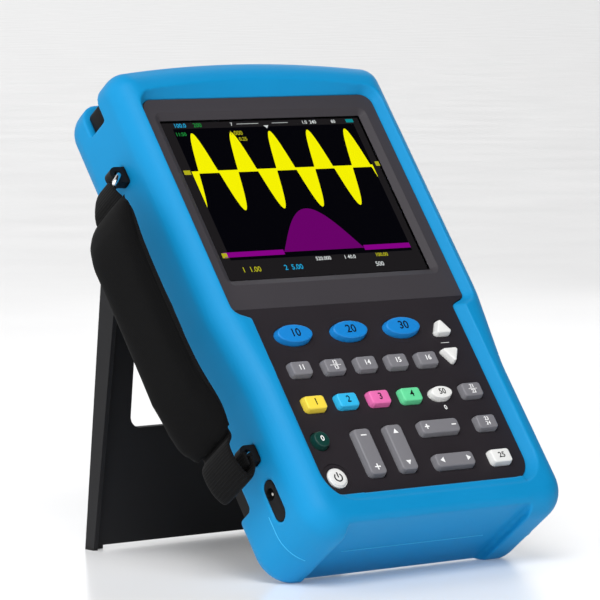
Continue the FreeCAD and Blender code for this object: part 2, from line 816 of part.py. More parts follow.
# --- kickstand, drawn folded and then opened about its hinge
opening = math.radians(stand_opening)
leg_direction = Vector(0, math.sin(opening), -math.cos(opening))
outward = Vector(0, math.cos(opening), math.sin(opening))
hinge = Vector(0, hinge_y, hinge_z)
corner_at_hinge = hinge + outward * stand_face
leg_length = (table_drop - corner_at_hinge.dot(down)) / leg_direction.dot(down)
plate_end = hinge_z - leg_length + foot_height
face_y = hinge_y + stand_face
plate_top = hinge_z - plate_top_gap
plate = block(
    -stand_half_width,
    stand_half_width,
    face_y - plate_thickness,
    face_y,
    plate_end,
    plate_top,
)
stand_window = rounded_rectangle(
    -stand_window_half_width,
    stand_window_half_width,
    hinge_z - stand_window_bottom,
    hinge_z - stand_window_top,
    stand_window_corner,
)
plate = plate.cut(slab(stand_window, face_y - plate_thickness - past, face_y + past))
feet = []
pins = []
kickstand = plate
for side in (-1, 1):
    outer = side * stand_half_width
    lip_wire = Part.makePolygon(
        [
            Vector(outer, face_y, plate_end),
            Vector(outer, face_y, hinge_z),
            Vector(outer, face_y - lip_depth_top, hinge_z),
            Vector(outer, face_y - lip_depth_top, hinge_z - lip_straight),
            Vector(outer, face_y - lip_depth_foot, plate_end),
            Vector(outer, face_y, plate_end),
        ]
    )
    lip_plate = Part.Face(lip_wire).extrude(Vector(-side * lip_thickness, 0, 0))
    kickstand = kickstand.fuse(lip_plate)
    ear = rod(ear_radius, (outer, hinge_y, hinge_z), (-side, 0, 0), lip_thickness)
    kickstand = kickstand.fuse(ear)
    bore_start = (outer + side * past, hinge_y, hinge_z)
    bore = rod(pin_radius + running_gap, bore_start, (-side, 0, 0), lip_thickness + 2 * past)
    kickstand = kickstand.cut(bore)
    inner_end = case_half_width - pin_seat
    head_x = stand_half_width + pin_head_gap
    pin = rod(pin_radius, (side * inner_end, hinge_y, hinge_z), (side, 0, 0), head_x - inner_end)
    head = rod(pin_head_radius, (side * head_x, hinge_y, hinge_z), (side, 0, 0), pin_head_height)
    pins.append(pin.fuse(head).removeSplitter())
    foot_x = sorted((outer, outer - side * foot_width))
    lip_x = sorted((outer, outer - side * lip_thickness))
    foot_bottom = plate_end - foot_height - foot_grip
    foot = block(*foot_x, face_y - plate_thickness, face_y, foot_bottom, plate_end)
    foot = foot.fuse(block(*lip_x, face_y - lip_depth_foot, face_y, foot_bottom, plate_end))
    feet.append(foot.removeSplitter())
kickstand = kickstand.removeSplitter()

# pins sit in pads inside the rear case
for side in (-1, 1):
    pad_x = sorted((side * (case_half_width - wall), side * (case_half_width - pin_pad_depth)))
    rear_case = rear_case.fuse(
        block(*pad_x, hinge_y - pin_pad, back_inside, hinge_z - pin_pad, hinge_z + pin_pad)
    )
for pin in pins:
    rear_case = rear_case.cut(pin)
parts["kickstand_hinge_pins"] = Part.makeCompound(pins)

axis = Vector(1, 0, 0)
kickstand.rotate(hinge, axis, stand_opening)
open_feet = []
for foot in feet:
    foot.rotate(hinge, axis, stand_opening)
    open_feet.append(foot.cut(table))
parts["kickstand"] = kickstand
parts["kickstand_feet"] = Part.makeCompound(open_feet)

# relief in the boot for the folded stand
relief_bottom = hinge_z - leg_length - relief_gap - relief_foot_gap
relief_top = hinge_z + ear_radius + relief_gap
relief_front = face_y - lip_depth_top - relief_gap
boot = boot.cut(block(-beyond, beyond, relief_front, boot_back + past, relief_bottom, relief_top))
boot = boot.cut(table)
parts["rear_case"] = rear_case.removeSplitter()
parts["front_case"] = front_case.removeSplitter()

# --- hand strap
pad_inner_x = pad_outer_x + pad_thickness
pad_outline = [
    (pad_end_x + pad_end_half, pad_bottom + pad_end_slope, pad_end_round),
    (pad_end_x - pad_end_tip, pad_bottom, pad_end_round),
    (pad_outer_x, pad_bottom + pad_shoulder, pad_shoulder_round),
    (pad_outer_x, pad_top - pad_shoulder, pad_shoulder_round),
    (pad_end_x - pad_end_tip, pad_top, pad_end_round),
    (pad_end_x + pad_end_half, pad_top - pad_end_slope, pad_end_round),
    (pad_inner_x, pad_top - pad_inner_shoulder, pad_inner_round),
    (pad_inner_x, pad_bottom + pad_inner_shoulder, pad_inner_round),
]
parts["strap_pad"] = slab(pad_outline, strap_y - pad_width / 2, strap_y + pad_width / 2)

ring_points = {}
for place, ring_z, side_x in (
    ("top", ring_top_z, -boot_half_width),
    ("bottom", ring_bottom_z, -boot_grip_half_width),
):
    hole_x = side_x - lug_reach
    diagonal = Vector(-1, 0, -1)
    diagonal.normalize()
    centre = Vector(hole_x, strap_y, ring_z) + diagonal * ring_radius
    ring_normal = diagonal.cross(Vector(0, 1, 0))
    parts[f"strap_ring_{place}"] = Part.makeTorus(ring_radius, ring_wire, centre, ring_normal)
    ring_points[place] = centre + diagonal * ring_radius
    reach = lug_hole + lug_margin
    eye = rod(reach, (hole_x, strap_y - lug_half_width, ring_z), (0, 1, 0), 2 * lug_half_width)
    lug_y = (strap_y - lug_half_width, strap_y + lug_half_width)
    stem = block(hole_x, -case_half_width, *lug_y, ring_z - reach, ring_z + reach)
    lug = eye.fuse(stem)
    lug = lug.cut(rod(lug_hole, (hole_x, lug_y[0] - past, ring_z), inward, 2 * (lug_half_width + past)))
    parts[f"strap_lug_{place}"] = lug.removeSplitter()
    boot = boot.cut(
        block(
            -beyond,
            -case_half_width + past,
            lug_y[0] - fit_gap,
            lug_y[1] + fit_gap,
            ring_z - reach - fit_gap,
            ring_z + reach + fit_gap,
        )
    )

# webbing from the upper ring to the pad: a neck that widens
start = ring_points["top"] + Vector(-1, 0, -1) * webbing_clear
pad_entry = Vector(pad_end_x - 0.5, strap_y, pad_top - 3.2)
along = pad_entry - start
reach = along.Length
along.normalize()
thick = along.cross(Vector(0, 1, 0))
side_way = Vector(0, 1, 0)
neck = webbing_neck / 2
broad = webbing_width / 2
tab_points = [
    start - side_way * neck,
    start + side_way * neck,
    pad_entry + side_way * broad,
    pad_entry - side_way * broad,
]
tab_points = [p - thick * (webbing_thickness / 2) for p in tab_points]
tab_wire = Part.makePolygon(tab_points + tab_points[:1])
tab = Part.Face(tab_wire).extrude(thick * webbing_thickness)
parts["strap_webbing_top"] = tab.cut(parts["strap_pad"])

# webbing hanging in a loop below the lower ring and back up into the pad
low = ring_points["bottom"] + Vector(-1, 0, -loop_offset)
loop_left = low.x - loop_width
loop_top = pad_bottom + 12.0
loop_wide = rounded_rectangle(loop_left, low.x + webbing_thickness, low.z - loop_drop, loop_top, loop_round)
loop_space = grown(loop_wide, -webbing_thickness)
loop = slab(loop_wide, strap_y - webbing_width / 2, strap_y + webbing_width / 2)
loop = loop.cut(slab(loop_space, strap_y - webbing_width, strap_y + webbing_width))
loop_span = (strap_y - webbing_width, strap_y + webbing_width)
loop = loop.cut(block(loop_left + 4.0, 0, *loop_span, low.z, loop_top + past))
loop = loop.cut(block(pad_outer_x, 0, *loop_span, pad_bottom + 6.0, loop_top + past))
parts["strap_webbing_bottom"] = loop.cut(parts["strap_pad"])
parts["protective_boot"] = boot.removeSplitter()

# --- tilt the whole device back and set it on the table, centred under its own box
for name, shape in parts.items():
    shape.rotate(Vector(0, 0, 0), axis, -tilt)
bound = Part.makeCompound(list(parts.values())).optimalBoundingBox(True)
shift = Vector(-bound.Center.x, -bound.Center.y, -bound.ZMin)
for name, shape in parts.items():
    shape.translate(shift)
    shape.exportStep(f"parts/{name}.step")
    if not shape.isValid():
        print("not valid:", name)
print("pieces", len(parts), "size", round(bound.XLength, 2), round(bound.YLength, 2), round(bound.ZLength, 2))


def placed(x, y, z):
    moved = FreeCAD.Rotation(axis, -tilt).multVec(Vector(x, y, z)) + shift
    return tuple(round(v, 3) for v in moved)


print("shift", tuple(round(v, 3) for v in shift), "leg", round(leg_length, 3))
print("hinge", placed(0, hinge_y, hinge_z))
for x in socket_xs:
    print("socket mouth", placed(x, connector_y, socket_top))
for x in bnc_spots:
    print("input", placed(x, connector_y, case_top + bnc_flange_height + bnc_barrel_length / 2))
print("inlet", placed(inlet_face, inlet_y, inlet_z))
print("strap gap", placed(pad_inner_x, strap_y, (pad_top + pad_bottom) / 2))
print("slot middle", placed(-case_half_width, inlet_y, inlet_slot_z))
for name, x, z, width, height, radius, rocker in keys:
    if rocker:
        print(name, "pivot", placed(x, panel_thickness / 2, z))
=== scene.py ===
import json
import math

import bmesh
import bpy
from mathutils import Matrix, Vector
from mathutils.bvhtree import BVHTree


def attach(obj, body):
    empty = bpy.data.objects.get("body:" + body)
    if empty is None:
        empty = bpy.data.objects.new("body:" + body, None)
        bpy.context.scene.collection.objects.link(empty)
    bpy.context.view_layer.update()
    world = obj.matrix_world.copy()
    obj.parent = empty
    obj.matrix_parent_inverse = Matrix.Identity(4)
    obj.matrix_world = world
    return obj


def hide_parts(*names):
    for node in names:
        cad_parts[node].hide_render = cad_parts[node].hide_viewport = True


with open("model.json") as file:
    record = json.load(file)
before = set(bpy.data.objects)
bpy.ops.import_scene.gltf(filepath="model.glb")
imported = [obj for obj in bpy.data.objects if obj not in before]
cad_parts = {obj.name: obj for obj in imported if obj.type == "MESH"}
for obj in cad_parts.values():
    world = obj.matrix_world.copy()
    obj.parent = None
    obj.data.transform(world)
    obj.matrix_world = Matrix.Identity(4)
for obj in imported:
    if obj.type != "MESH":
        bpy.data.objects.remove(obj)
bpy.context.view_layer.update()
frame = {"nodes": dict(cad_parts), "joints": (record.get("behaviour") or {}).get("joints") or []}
mm = 0.001

# The instrument leans back, so everything is drawn in its own axes, in millimetres: across the
# front, inward from the face of the panel, and upward along that face. toRow puts it in the frame.
across = Vector((1, 0, 0))
inward = Vector(next(j["axis"] for j in frame["joints"] if j["name"] == "power_key_press")).normalized()
upward = across.cross(inward)
panelGap = 0.15          # the keypad panel starts that far above the zero of the face


# cosine and sine at equal turns round a circle
def roundTurns(count, turn=0.0):
    angles = [2 * math.pi * (k + turn) / count for k in range(count)]
    return [(math.cos(a), math.sin(a)) for a in angles]


# one less the sine and the cosine, at equal steps over a quarter turn, for a rounded edge
def quarterRound(steps):
    angles = [math.pi / 2 * i / steps for i in range(steps + 1)]
    return [(1 - math.sin(a), 1 - math.cos(a)) for a in angles]


def spanOf(node):
    points = [v.co for v in frame["nodes"][node].data.vertices]
    reach = [[p.dot(axis) / mm for p in points] for axis in (across, inward, upward)]
    return Vector([min(r) for r in reach]), Vector([max(r) for r in reach])


bootLow, bootHigh = spanOf("protective_boot")
panelLow = spanOf("keypad_panel")[0]
zero = Vector(((bootLow.x + bootHigh.x) / 2, panelLow.y, panelLow.z - panelGap))
toRow = Matrix((across, inward, upward)).transposed().to_4x4() @ Matrix.Scale(mm, 4)
toRow.translation = toRow @ zero


def deviceBox(node):
    low, high = spanOf(node)
    return low - zero, high - zero


def middleOf(node):
    low, high = deviceBox(node)
    return (low + high) / 2


wavePitch = 0.314        # a wave texture of scale 1 repeats every 0.314 m


def toLinear(hexColour):
    parts = [int(hexColour[i:i + 2], 16) / 255 for i in (1, 3, 5)]
    return [c / 12.92 if c <= 0.04045 else ((c + 0.055) / 1.055) ** 2.4 for c in parts] + [1.0]


def shaded(colour, share, lift=0.0):
    return [min(c * share + lift, 1.0) for c in toLinear(colour)[:3]] + [1.0]


def addNode(tree, kind, links=None, values=None, **settings):
    node = tree.nodes.new("ShaderNode" + kind)
    for name, value in settings.items():
        setattr(node, name, value)
    for name, value in (values or {}).items():
        node.inputs[name].default_value = value
    for name, source in (links or {}).items():
        tree.links.new(source, node.inputs[name])
    return node


def startMaterial(name, colour, roughness, **sockets):
    made = bpy.data.materials.new(name)
    made.use_nodes = True
    tree = made.node_tree
    shader = tree.nodes["Principled BSDF"]
    shader.inputs["Base Color"].default_value = toLinear(colour)
    shader.inputs["Roughness"].default_value = roughness
    for socket, value in sockets.items():
        shader.inputs[socket.replace("_", " ")].default_value = value
    place = addNode(tree, "TexCoord")
    return made, tree, shader, place.outputs["Object"]


# Anything moulded: fine spark-eroded grain, a slow change of tone, and edges rubbed by handling.
def moulded(name, colour, roughness, grain=0.5, depth=0.02, tone=0.06, rub=0.0, edge=0.35, shine=0.25):
    made, tree, shader, place = startMaterial(name, colour, roughness, Specular_IOR_Level=shine)
    fine = addNode(tree, "TexNoise", {"Vector": place}, {"Scale": 1 / (grain * mm), "Detail": 3.0})
    cloud = addNode(tree, "TexNoise", {"Vector": place}, {"Scale": 22.0, "Detail": 2.0})
    tones = addNode(
        tree, "Mix", {"Factor": cloud.outputs["Fac"]},
        {"A": shaded(colour, 1 - tone), "B": shaded(colour, 1 + tone, 0.002)}, data_type="RGBA",
    )
    form = addNode(tree, "NewGeometry")
    worn = addNode(
        tree, "MapRange", {"Value": form.outputs["Pointiness"]},
        {"From Min": 0.52, "From Max": 0.60, "To Min": 0.0, "To Max": rub},
    )
    rubbed = addNode(
        tree, "Mix", {"Factor": worn.outputs["Result"], "A": tones.outputs["Result"]}, data_type="RGBA"
    )
    rubbed.inputs["B"].default_value = [c + (1 - c) * 0.35 for c in toLinear(colour)[:3]] + [1.0]
    tree.links.new(rubbed.outputs["Result"], shader.inputs["Base Color"])
    sheen = addNode(
        tree, "MapRange", {"Value": cloud.outputs["Fac"]},
        {"From Min": 0.3, "From Max": 0.7, "To Min": roughness - 0.04, "To Max": roughness + 0.05},
    )
    tree.links.new(sheen.outputs["Result"], shader.inputs["Roughness"])
    bump = addNode(
        tree, "Bump", {"Height": fine.outputs["Fac"]}, {"Strength": 0.35, "Distance": depth * mm}
    )
    if edge:
        soft = addNode(tree, "Bevel", values={"Radius": edge * mm}, samples=4)
        tree.links.new(soft.outputs["Normal"], bump.inputs["Normal"])
    tree.links.new(bump.outputs["Normal"], shader.inputs["Normal"])
    return made


# Anything woven or knitted: ribs across the band, threads along it, and a soft sheen of loose fibres.
def woven(name, colour, roughness, thread, rib, depth, sheen, axis="Z"):
    made, tree, shader, place = startMaterial(
        name, colour, roughness, Specular_IOR_Level=0.12, Sheen_Weight=sheen, Sheen_Roughness=0.4
    )
    tilt = addNode(tree, "Mapping", {"Vector": place})
    # turned with the instrument, so that the ribs run square across the strap
    tilt.inputs["Rotation"].default_value = (math.asin(-inward.z), 0, 0)
    waves = []
    for direction, width in ((axis, rib), ("Y", thread)):
        waves.append(addNode(
            tree, "TexWave", {"Vector": tilt.outputs["Vector"]},
            {"Scale": wavePitch / (width * mm), "Distortion": 0.6, "Detail": 1.0},
            bands_direction=direction,
        ))
    weave = addNode(
        tree, "Math", {0: waves[0].outputs["Fac"], 1: waves[1].outputs["Fac"]}, operation="MULTIPLY"
    )
    fluff = addNode(tree, "TexNoise", {"Vector": place}, {"Scale": 90.0, "Detail": 4.0})
    blend = addNode(
        tree, "Mix", {"Factor": fluff.outputs["Fac"]},
        {"A": shaded(colour, 0.7), "B": shaded(colour, 1.45, 0.001)}, data_type="RGBA",
    )
    # the grooves between ribs and threads are coloured darker than the ribs: painted shade
    paintedGrooveShade = addNode(
        tree, "Mix", {"Factor": weave.outputs["Value"], "B": blend.outputs["Result"]},
        {"A": shaded(colour, 0.55)}, data_type="RGBA",
    )
    tree.links.new(paintedGrooveShade.outputs["Result"], shader.inputs["Base Color"])
    bump = addNode(
        tree, "Bump", {"Height": weave.outputs["Value"]}, {"Strength": 0.6, "Distance": depth * mm}
    )
    tree.links.new(bump.outputs["Normal"], shader.inputs["Normal"])
    return made


# Plated and drawn metal: long fine drawing marks and small tarnish clouds in the gloss.
def metal(name, colour, roughness, marks=0.3, tarnish=0.12):
    made, tree, shader, place = startMaterial(name, colour, roughness, Metallic=1.0)
    lines = addNode(tree, "TexNoise", {"Vector": place}, {"Scale": 1 / (marks * mm), "Detail": 2.0})
    cloud = addNode(tree, "TexNoise", {"Vector": place}, {"Scale": 180.0, "Detail": 3.0})
    shade = addNode(
        tree, "Mix", {"Factor": cloud.outputs["Fac"]},
        {"A": toLinear(colour), "B": shaded(colour, 1 - tarnish)}, data_type="RGBA",
    )
    tree.links.new(shade.outputs["Result"], shader.inputs["Base Color"])
    gloss = addNode(
        tree, "MapRange", {"Value": cloud.outputs["Fac"]},
        {"From Min": 0.3, "From Max": 0.7, "To Min": roughness * 0.8, "To Max": roughness * 1.4},
    )
    tree.links.new(gloss.outputs["Result"], shader.inputs["Roughness"])
    bump = addNode(
        tree, "Bump", {"Height": lines.outputs["Fac"]}, {"Strength": 0.15, "Distance": 0.01 * mm}
    )
    tree.links.new(bump.outputs["Normal"], shader.inputs["Normal"])
    return made


# Lit face of the display: one colour with the faint columns of the panel, 0.36 mm apart.
def litDisplay(name, colour):
    made, tree, shader, place = startMaterial(
        name, "#000000", 0.5, Emission_Strength=1.0, Specular_IOR_Level=0.0
    )
    stripes = addNode(
        tree, "TexWave", {"Vector": place}, {"Scale": wavePitch / (0.36 * mm)}, bands_direction="X"
    )
    tone = addNode(
        tree, "Mix", {"Factor": stripes.outputs["Fac"]},
        {"A": shaded(colour, 0.93), "B": toLinear(colour)}, data_type="RGBA",
    )
    tree.links.new(tone.outputs["Result"], shader.inputs["Emission Color"])
    return made


# thermoplastic rubber, injection moulded: soft satin, no hard glints, edges slightly paler
bootRubber = moulded(
    "mouldedBlueRubber", "#0A89C2", 0.5, grain=0.7, tone=0.05, rub=0.05, edge=0.0, shine=0.16
)
# the trimmed seam of the same rubber, coloured paler than the walls beside it: a painted highlight along the
# raised line
seamRubberPaintedHighlight = moulded("trimmedRubberSeamPaintedHighlight", "#3FB0DE", 0.45, grain=0.7, depth=0.01, edge=0.0)
# ABS, moulded against an eroded tool: dark and dull with a fine tooth
caseAbs = moulded("mouldedBlackAbs", "#0E0E0F", 0.55, depth=0.03, shine=0.15)
standAbs = moulded("mouldedCharcoalAbs", "#1A1A1C", 0.5, grain=0.6, depth=0.03, edge=0.5, shine=0.16)
# PC-ABS panels, satin moulded and sprayed: even, with a faint sheen
panelSpray = {"grain": 0.35, "depth": 0.01, "tone": 0.03, "edge": 0.3}
upperPanel = moulded("sprayedGraphitePanel", "#3D3A3E", 0.47, shine=0.14, **panelSpray)
lowerPanel = moulded("sprayedCharcoalPanel", "#282428", 0.5, shine=0.12, **panelSpray)
# glass-filled nylon and soft rubber, both black: the first tighter and glossier than the second
socketPlastic = moulded("mouldedBlackNylon", "#141416", 0.4, grain=0.4, depth=0.01)
footRubber = moulded("mouldedBlackRubber", "#161616", 0.7, grain=0.6, depth=0.04)
# the inside: plain silicone, green laminate, amber film, blue heat-shrunk wrap
matSilicone = moulded("mouldedGreySilicone", "#8A8A8E", 0.5)
boardLaminate = moulded("glassEpoxyLaminate", "#14532D", 0.35, grain=1.2, depth=0.01)
flexFilm = moulded("polyimideFilm", "#B0721E", 0.3, grain=0.8, depth=0.005)
shrinkWrap = moulded("shrunkPvcWrap", "#1E3D8F", 0.25, grain=1.5, depth=0.01)
# metals: dull tin, near-black zinc, warm nickel, yellow brass and mirror-bright chrome
tinnedSteel = metal("tinnedSteelSheet", "#B9BCC0", 0.35)
blackZinc = metal("blackZincSteel", "#55575B", 0.4)
nickelPlate = metal("nickelPlatedBrass", "#C4C2BC", 0.18)
brassTurned = metal("turnedBrass", "#C9A24B", 0.22)
chromePlate = metal("chromedSteelWire", "#E4E6E9", 0.07, tarnish=0.05)
# polyester webbing: tight ribs 1.4 mm apart; the threads are drawn twice their real pitch to show
strapWebbing = woven("wovenPolyesterWebbing", "#0A0A0B", 0.8, 1.0, 1.4, 0.25, 0.03)
# nylon-lined neoprene: knitted, dull black with a soft bloom where it turns to the light
padKnit = woven("knittedNylonNeoprene", "#060607", 0.9, 0.9, 0.9, 0.08, 0.02)
bindingTape = woven("wovenNylonTape", "#0C0C0D", 0.85, 0.8, 1.1, 0.15, 0.03)
# liquid crystal display behind glass, unlit: near black
displayGlass = moulded("unlitDisplayGlass", "#050509", 0.25, grain=2.0, depth=0.001, edge=0.0)
# cast acrylic, polished: clear, with the least smear of wiping
# (its index is kept below acrylic's 1.49, so that it mirrors the room less)
clearLens, lensTree, lensShader, lensPlace = startMaterial(
    "clearAcrylicLens", "#FFFFFF", 0.02, Transmission_Weight=1.0, IOR=1.3
)
smear = addNode(lensTree, "TexNoise", {"Vector": lensPlace}, {"Scale": 30.0, "Detail": 3.0})
wiped = addNode(lensTree, "MapRange", {"Value": smear.outputs["Fac"]}, {"To Min": 0.0, "To Max": 0.015})
lensTree.links.new(wiped.outputs["Result"], lensShader.inputs["Roughness"])

keyColours = {
    "grey_key": "#7A797E", "blue_key": "#1480CC", "yellow_key": "#F4D848", "cyan_key": "#30B4E6",
    "pink_key": "#E46CAC", "mint_key": "#66D69A", "white_key": "#E6E6E4", "green_key": "#0A3A33",
}
# moulded silicone keys: soft satin, a little paler along their raised edges
keySilicone = {
    slot: moulded("mouldedSilicone." + slot, colour, 0.42, depth=0.008, tone=0.02, rub=0.1, edge=0.0)
    for slot, colour in keyColours.items()
}
# pad-printed ink: a flat even film, a little glossier than what it sits on
blackInk = moulded("padPrintedBlackInk", "#08080C", 0.4, depth=0.002, edge=0.0)
whiteInk = moulded("padPrintedWhiteInk", "#F4F4F4", 0.4, depth=0.002, edge=0.0)
print("materials ready")

nodeMaterials = {
    "front_case": caseAbs, "rear_case": caseAbs, "battery_door": caseAbs, "strap_lug_top": caseAbs,
    "strap_lug_bottom": caseAbs, "display_bezel": upperPanel, "keypad_panel": lowerPanel,
    "display_window": clearLens, "display_module": displayGlass, "display_cable": flexFilm,
    "keypad_mat": matSilicone, "keypad_board": boardLaminate, "main_board": boardLaminate,
    "input_shield": tinnedSteel, "battery_pack": shrinkWrap, "battery_door_screws": blackZinc,
    "case_screws": blackZinc, "signal_input_1": nickelPlate, "signal_input_2": nickelPlate,
    "meter_socket_block": socketPlastic, "meter_sockets": brassTurned, "power_inlet": socketPlastic,
    "buzzer": socketPlastic, "kickstand_hinge_pins": blackZinc, "strap_ring_top": chromePlate,
    "strap_ring_bottom": chromePlate, "kickstand": standAbs, "kickstand_feet": footRubber,
}
for node, material in nodeMaterials.items():
    mesh = frame["nodes"][node].data
    mesh.materials.clear()
    mesh.materials.append(material)


def corner(x, z, radius):
    return Vector((x, z)), radius


def mirrored(half):
    return half + [corner(-point.x, point.y, radius) for point, radius in reversed(half)]


def roundedRectangle(x0, x1, z0, z1, radius):
    return [corner(x, z, radius) for x, z in ((x0, z0), (x0, z1), (x1, z1), (x1, z0))]


# the same outline with every side moved outwards
def grown(corners, amount):
    result = []
    for i, (point, radius) in enumerate(corners):
        back = (point - corners[i - 1][0]).normalized()
        ahead = (corners[(i + 1) % len(corners)][0] - point).normalized()
        outBack = Vector((-back.y, back.x))
        outAhead = Vector((-ahead.y, ahead.x))
        mitre = (outBack + outAhead) * (amount / (1 + outBack.dot(outAhead)))
        turn = back.x * ahead.y - back.y * ahead.x
        result.append((point + mitre, max(radius + (amount if turn < 0 else -amount), 0.05)))
    return result


# points round an outline; edge bowEdge is bowed outwards by bow
def outlinePoints(corners, arcSteps=6, edgeSteps=1, bow=0.0, bowEdge=3):
    points = []
    count = len(corners)
    arcs = []
    for i, (point, radius) in enumerate(corners):
        before = (corners[i - 1][0] - point).normalized()
        after = (corners[(i + 1) % count][0] - point).normalized()
        half = before.angle(after) / 2
        cut = radius / math.tan(half)
        centre = point + (before + after).normalized() * (radius / math.sin(half))
        first = point + before * cut - centre
        last = point + after * cut - centre
        sweep = first.angle_signed(last)
        arcs.append([
            centre + Matrix.Rotation(-sweep * k / arcSteps, 2) @ first for k in range(arcSteps + 1)
        ])
    for i, arc in enumerate(arcs):
        points += arc
        start, end = arc[-1], arcs[(i + 1) % count][0]
        out = Vector((-(end - start).y, (end - start).x)).normalized()
        for k in range(1, edgeSteps):
            t = k / edgeSteps
            lift = bow * 4 * t * (1 - t) if i == bowEdge else 0.0
            points.append(start.lerp(end, t) + out * lift)
    return points


def ring(points, depth):
    return [Vector((p.x, depth, p.y)) for p in points]


# a skin over the rings, with its two ends closed, or joined to each other round a hole
def loft(rings, hollow=False):
    count = len(rings[0])
    verts = [p for one in rings for p in one]
    faces = []
    for r in range(len(rings) if hollow else len(rings) - 1):
        n = (r + 1) % len(rings)
        for i in range(count):
            j = (i + 1) % count
            faces.append((r * count + i, r * count + j, n * count + j, n * count + i))
    if not hollow:
        faces.append(tuple(reversed(range(count))))
        faces.append(tuple(range((len(rings) - 1) * count, len(rings) * count)))
    return verts, faces


def intoScene(name, data):
    made = bpy.data.objects.new(name, data)
    bpy.context.scene.collection.objects.link(made)
    return made


def settledMesh(piece):
    return bpy.data.meshes.new_from_object(piece.evaluated_get(bpy.context.evaluated_depsgraph_get()))


def newObject(name, verts, faces):
    mesh = bpy.data.meshes.new(name)
    mesh.from_pydata([tuple(v) for v in verts], [], faces)
    work = bmesh.new()
    work.from_mesh(mesh)
    bmesh.ops.recalc_face_normals(work, faces=work.faces)
    work.to_mesh(mesh)
    work.free()
    return intoScene(name, mesh)


def settle(piece):
    mesh = settledMesh(piece)
    piece.modifiers.clear()
    piece.data = mesh


def roundEdges(piece, width):
    soft = piece.modifiers.new("soft", "BEVEL")
    soft.width = width
    soft.segments = 3
    settle(piece)


boxFaces = [(0, 1, 3, 2), (4, 6, 7, 5), (0, 4, 5, 1), (2, 3, 7, 6), (0, 2, 6, 4), (1, 5, 7, 3)]


def boxObject(name, low, high, rounding=0.0):
    spans = list(zip(low, high))
    verts = [Vector((x, y, z)) for x in spans[0] for y in spans[1] for z in spans[2]]
    made = newObject(name, verts, boxFaces)
    if rounding:
        roundEdges(made, rounding)
    return made


def remeshed(piece, voxel):
    remesh = piece.modifiers.new("remesh", "REMESH")
    remesh.mode = "VOXEL"
    remesh.voxel_size = voxel


def cutAway(piece, other, operation="DIFFERENCE"):
    step = piece.modifiers.new("cut", "BOOLEAN")
    step.object = other
    step.operation = operation
    step.solver = "EXACT"
    settle(piece)
    bpy.data.objects.remove(other)


def joinTo(piece, other):
    cutAway(piece, other, "UNION")


def placePiece(piece, material, body="device", smooth=True, angle=None):
    piece.data.transform(toRow)
    piece.data.materials.clear()
    piece.data.materials.append(material)
    for face in piece.data.polygons:
        face.use_smooth = smooth
        face.material_index = 0
    if angle:
        work = bmesh.new()
        work.from_mesh(piece.data)
        for edge in work.edges:
            edge.smooth = len(edge.link_faces) == 2 and edge.calc_face_angle(0) < math.radians(angle)
        work.to_mesh(piece.data)
        work.free()
    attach(piece, body)
    return piece


boot = {
    "front": -4.5, "frontRound": 12.0, "backRound": 8.0, "shoulderRound": 15.0, "bow": 4.1,
    "waistLow": 60.0, "waistHigh": 100.0, "waistRound": 60.0, "gripInset": 5.0,
    "cornerTop": 11.0, "cornerBottom": 16.0, "cornerDrop": 4.1,
    "bevelSide": 3.8, "bevelTop": 3.2, "bevelBow": 4.2, "bevelEdge": 0.35,
    "recessTop": 1.7, "recessTopHalf": 52.0, "recessBow": 2.3,
    "recessBottomLeft": -56.0, "recessBottomRight": 50.0, "recessBottom": 4.0, "keelFront": -3.9,
    "keelRound": 4.5, "shoulderStart": 130.0, "shoulderRun": 50.0,
    "bayHalf": 63.0, "bayFront": 14.5, "bayCornerBack": 28.0, "bayCornerBottom": 213.0, "bayWall": 2.0,
    "bayOverlap": 5.0, "bayRound": 1.5, "lugGap": 0.3,
    "reliefLow": 17.0, "reliefHigh": 187.3, "reliefDepth": 35.0, "reliefRound": 2.0,
    "voxel": 0.75, "quickVoxel": 1.4, "smoothing": 3, "faces": 180000,
    "flashDepth": 25.0, "flashRadius": 0.22, "flashGap": 2.6, "flashTop": 8.0, "flashHalf": 58.0,
    "flashLow": -1.0, "flashOut": 12.0, "flashFine": 5,
}
inletSlot = {"depth": 17.8, "height": 11.7, "width": 8.6, "length": 20.6}
case = {"half": 70.0, "bottom": -9.0, "top": 222.0, "back": 45.0, "corner": 10.0, "front": 2.2, "gap": 0.2}
# cutting bodies end this far out, well clear of the boot
clear = {"side": 100.0, "front": -20.0, "back": 80.0, "end": 20.0}
panel = {"upperHalf": 67.15, "lowerHalf": 58.45, "top": 214.1, "stepTop": 98.0, "stepBottom": 94.5}
panelCorners = mirrored([
    corner(-panel["lowerHalf"], 0, 12), corner(-panel["lowerHalf"], panel["stepBottom"], 3),
    corner(-panel["upperHalf"], panel["stepTop"], 3), corner(-panel["upperHalf"], panel["top"], 6),
])


def bootOutline(inset):
    low, high = bootLow - zero, bootHigh - zero
    side, grip = high.x, high.x - boot["gripInset"]
    base = low.z
    crown = high.z + boot["recessTop"] - boot["cornerDrop"]
    rounding = boot["waistRound"]
    corners = mirrored([
        corner(-grip, base, boot["cornerBottom"]), corner(-grip, boot["waistLow"], rounding),
        corner(-side, boot["waistHigh"], rounding), corner(-side, crown, boot["cornerTop"]),
    ])
    return outlinePoints(grown(corners, -inset), arcSteps=10, edgeSteps=24, bow=boot["bow"])


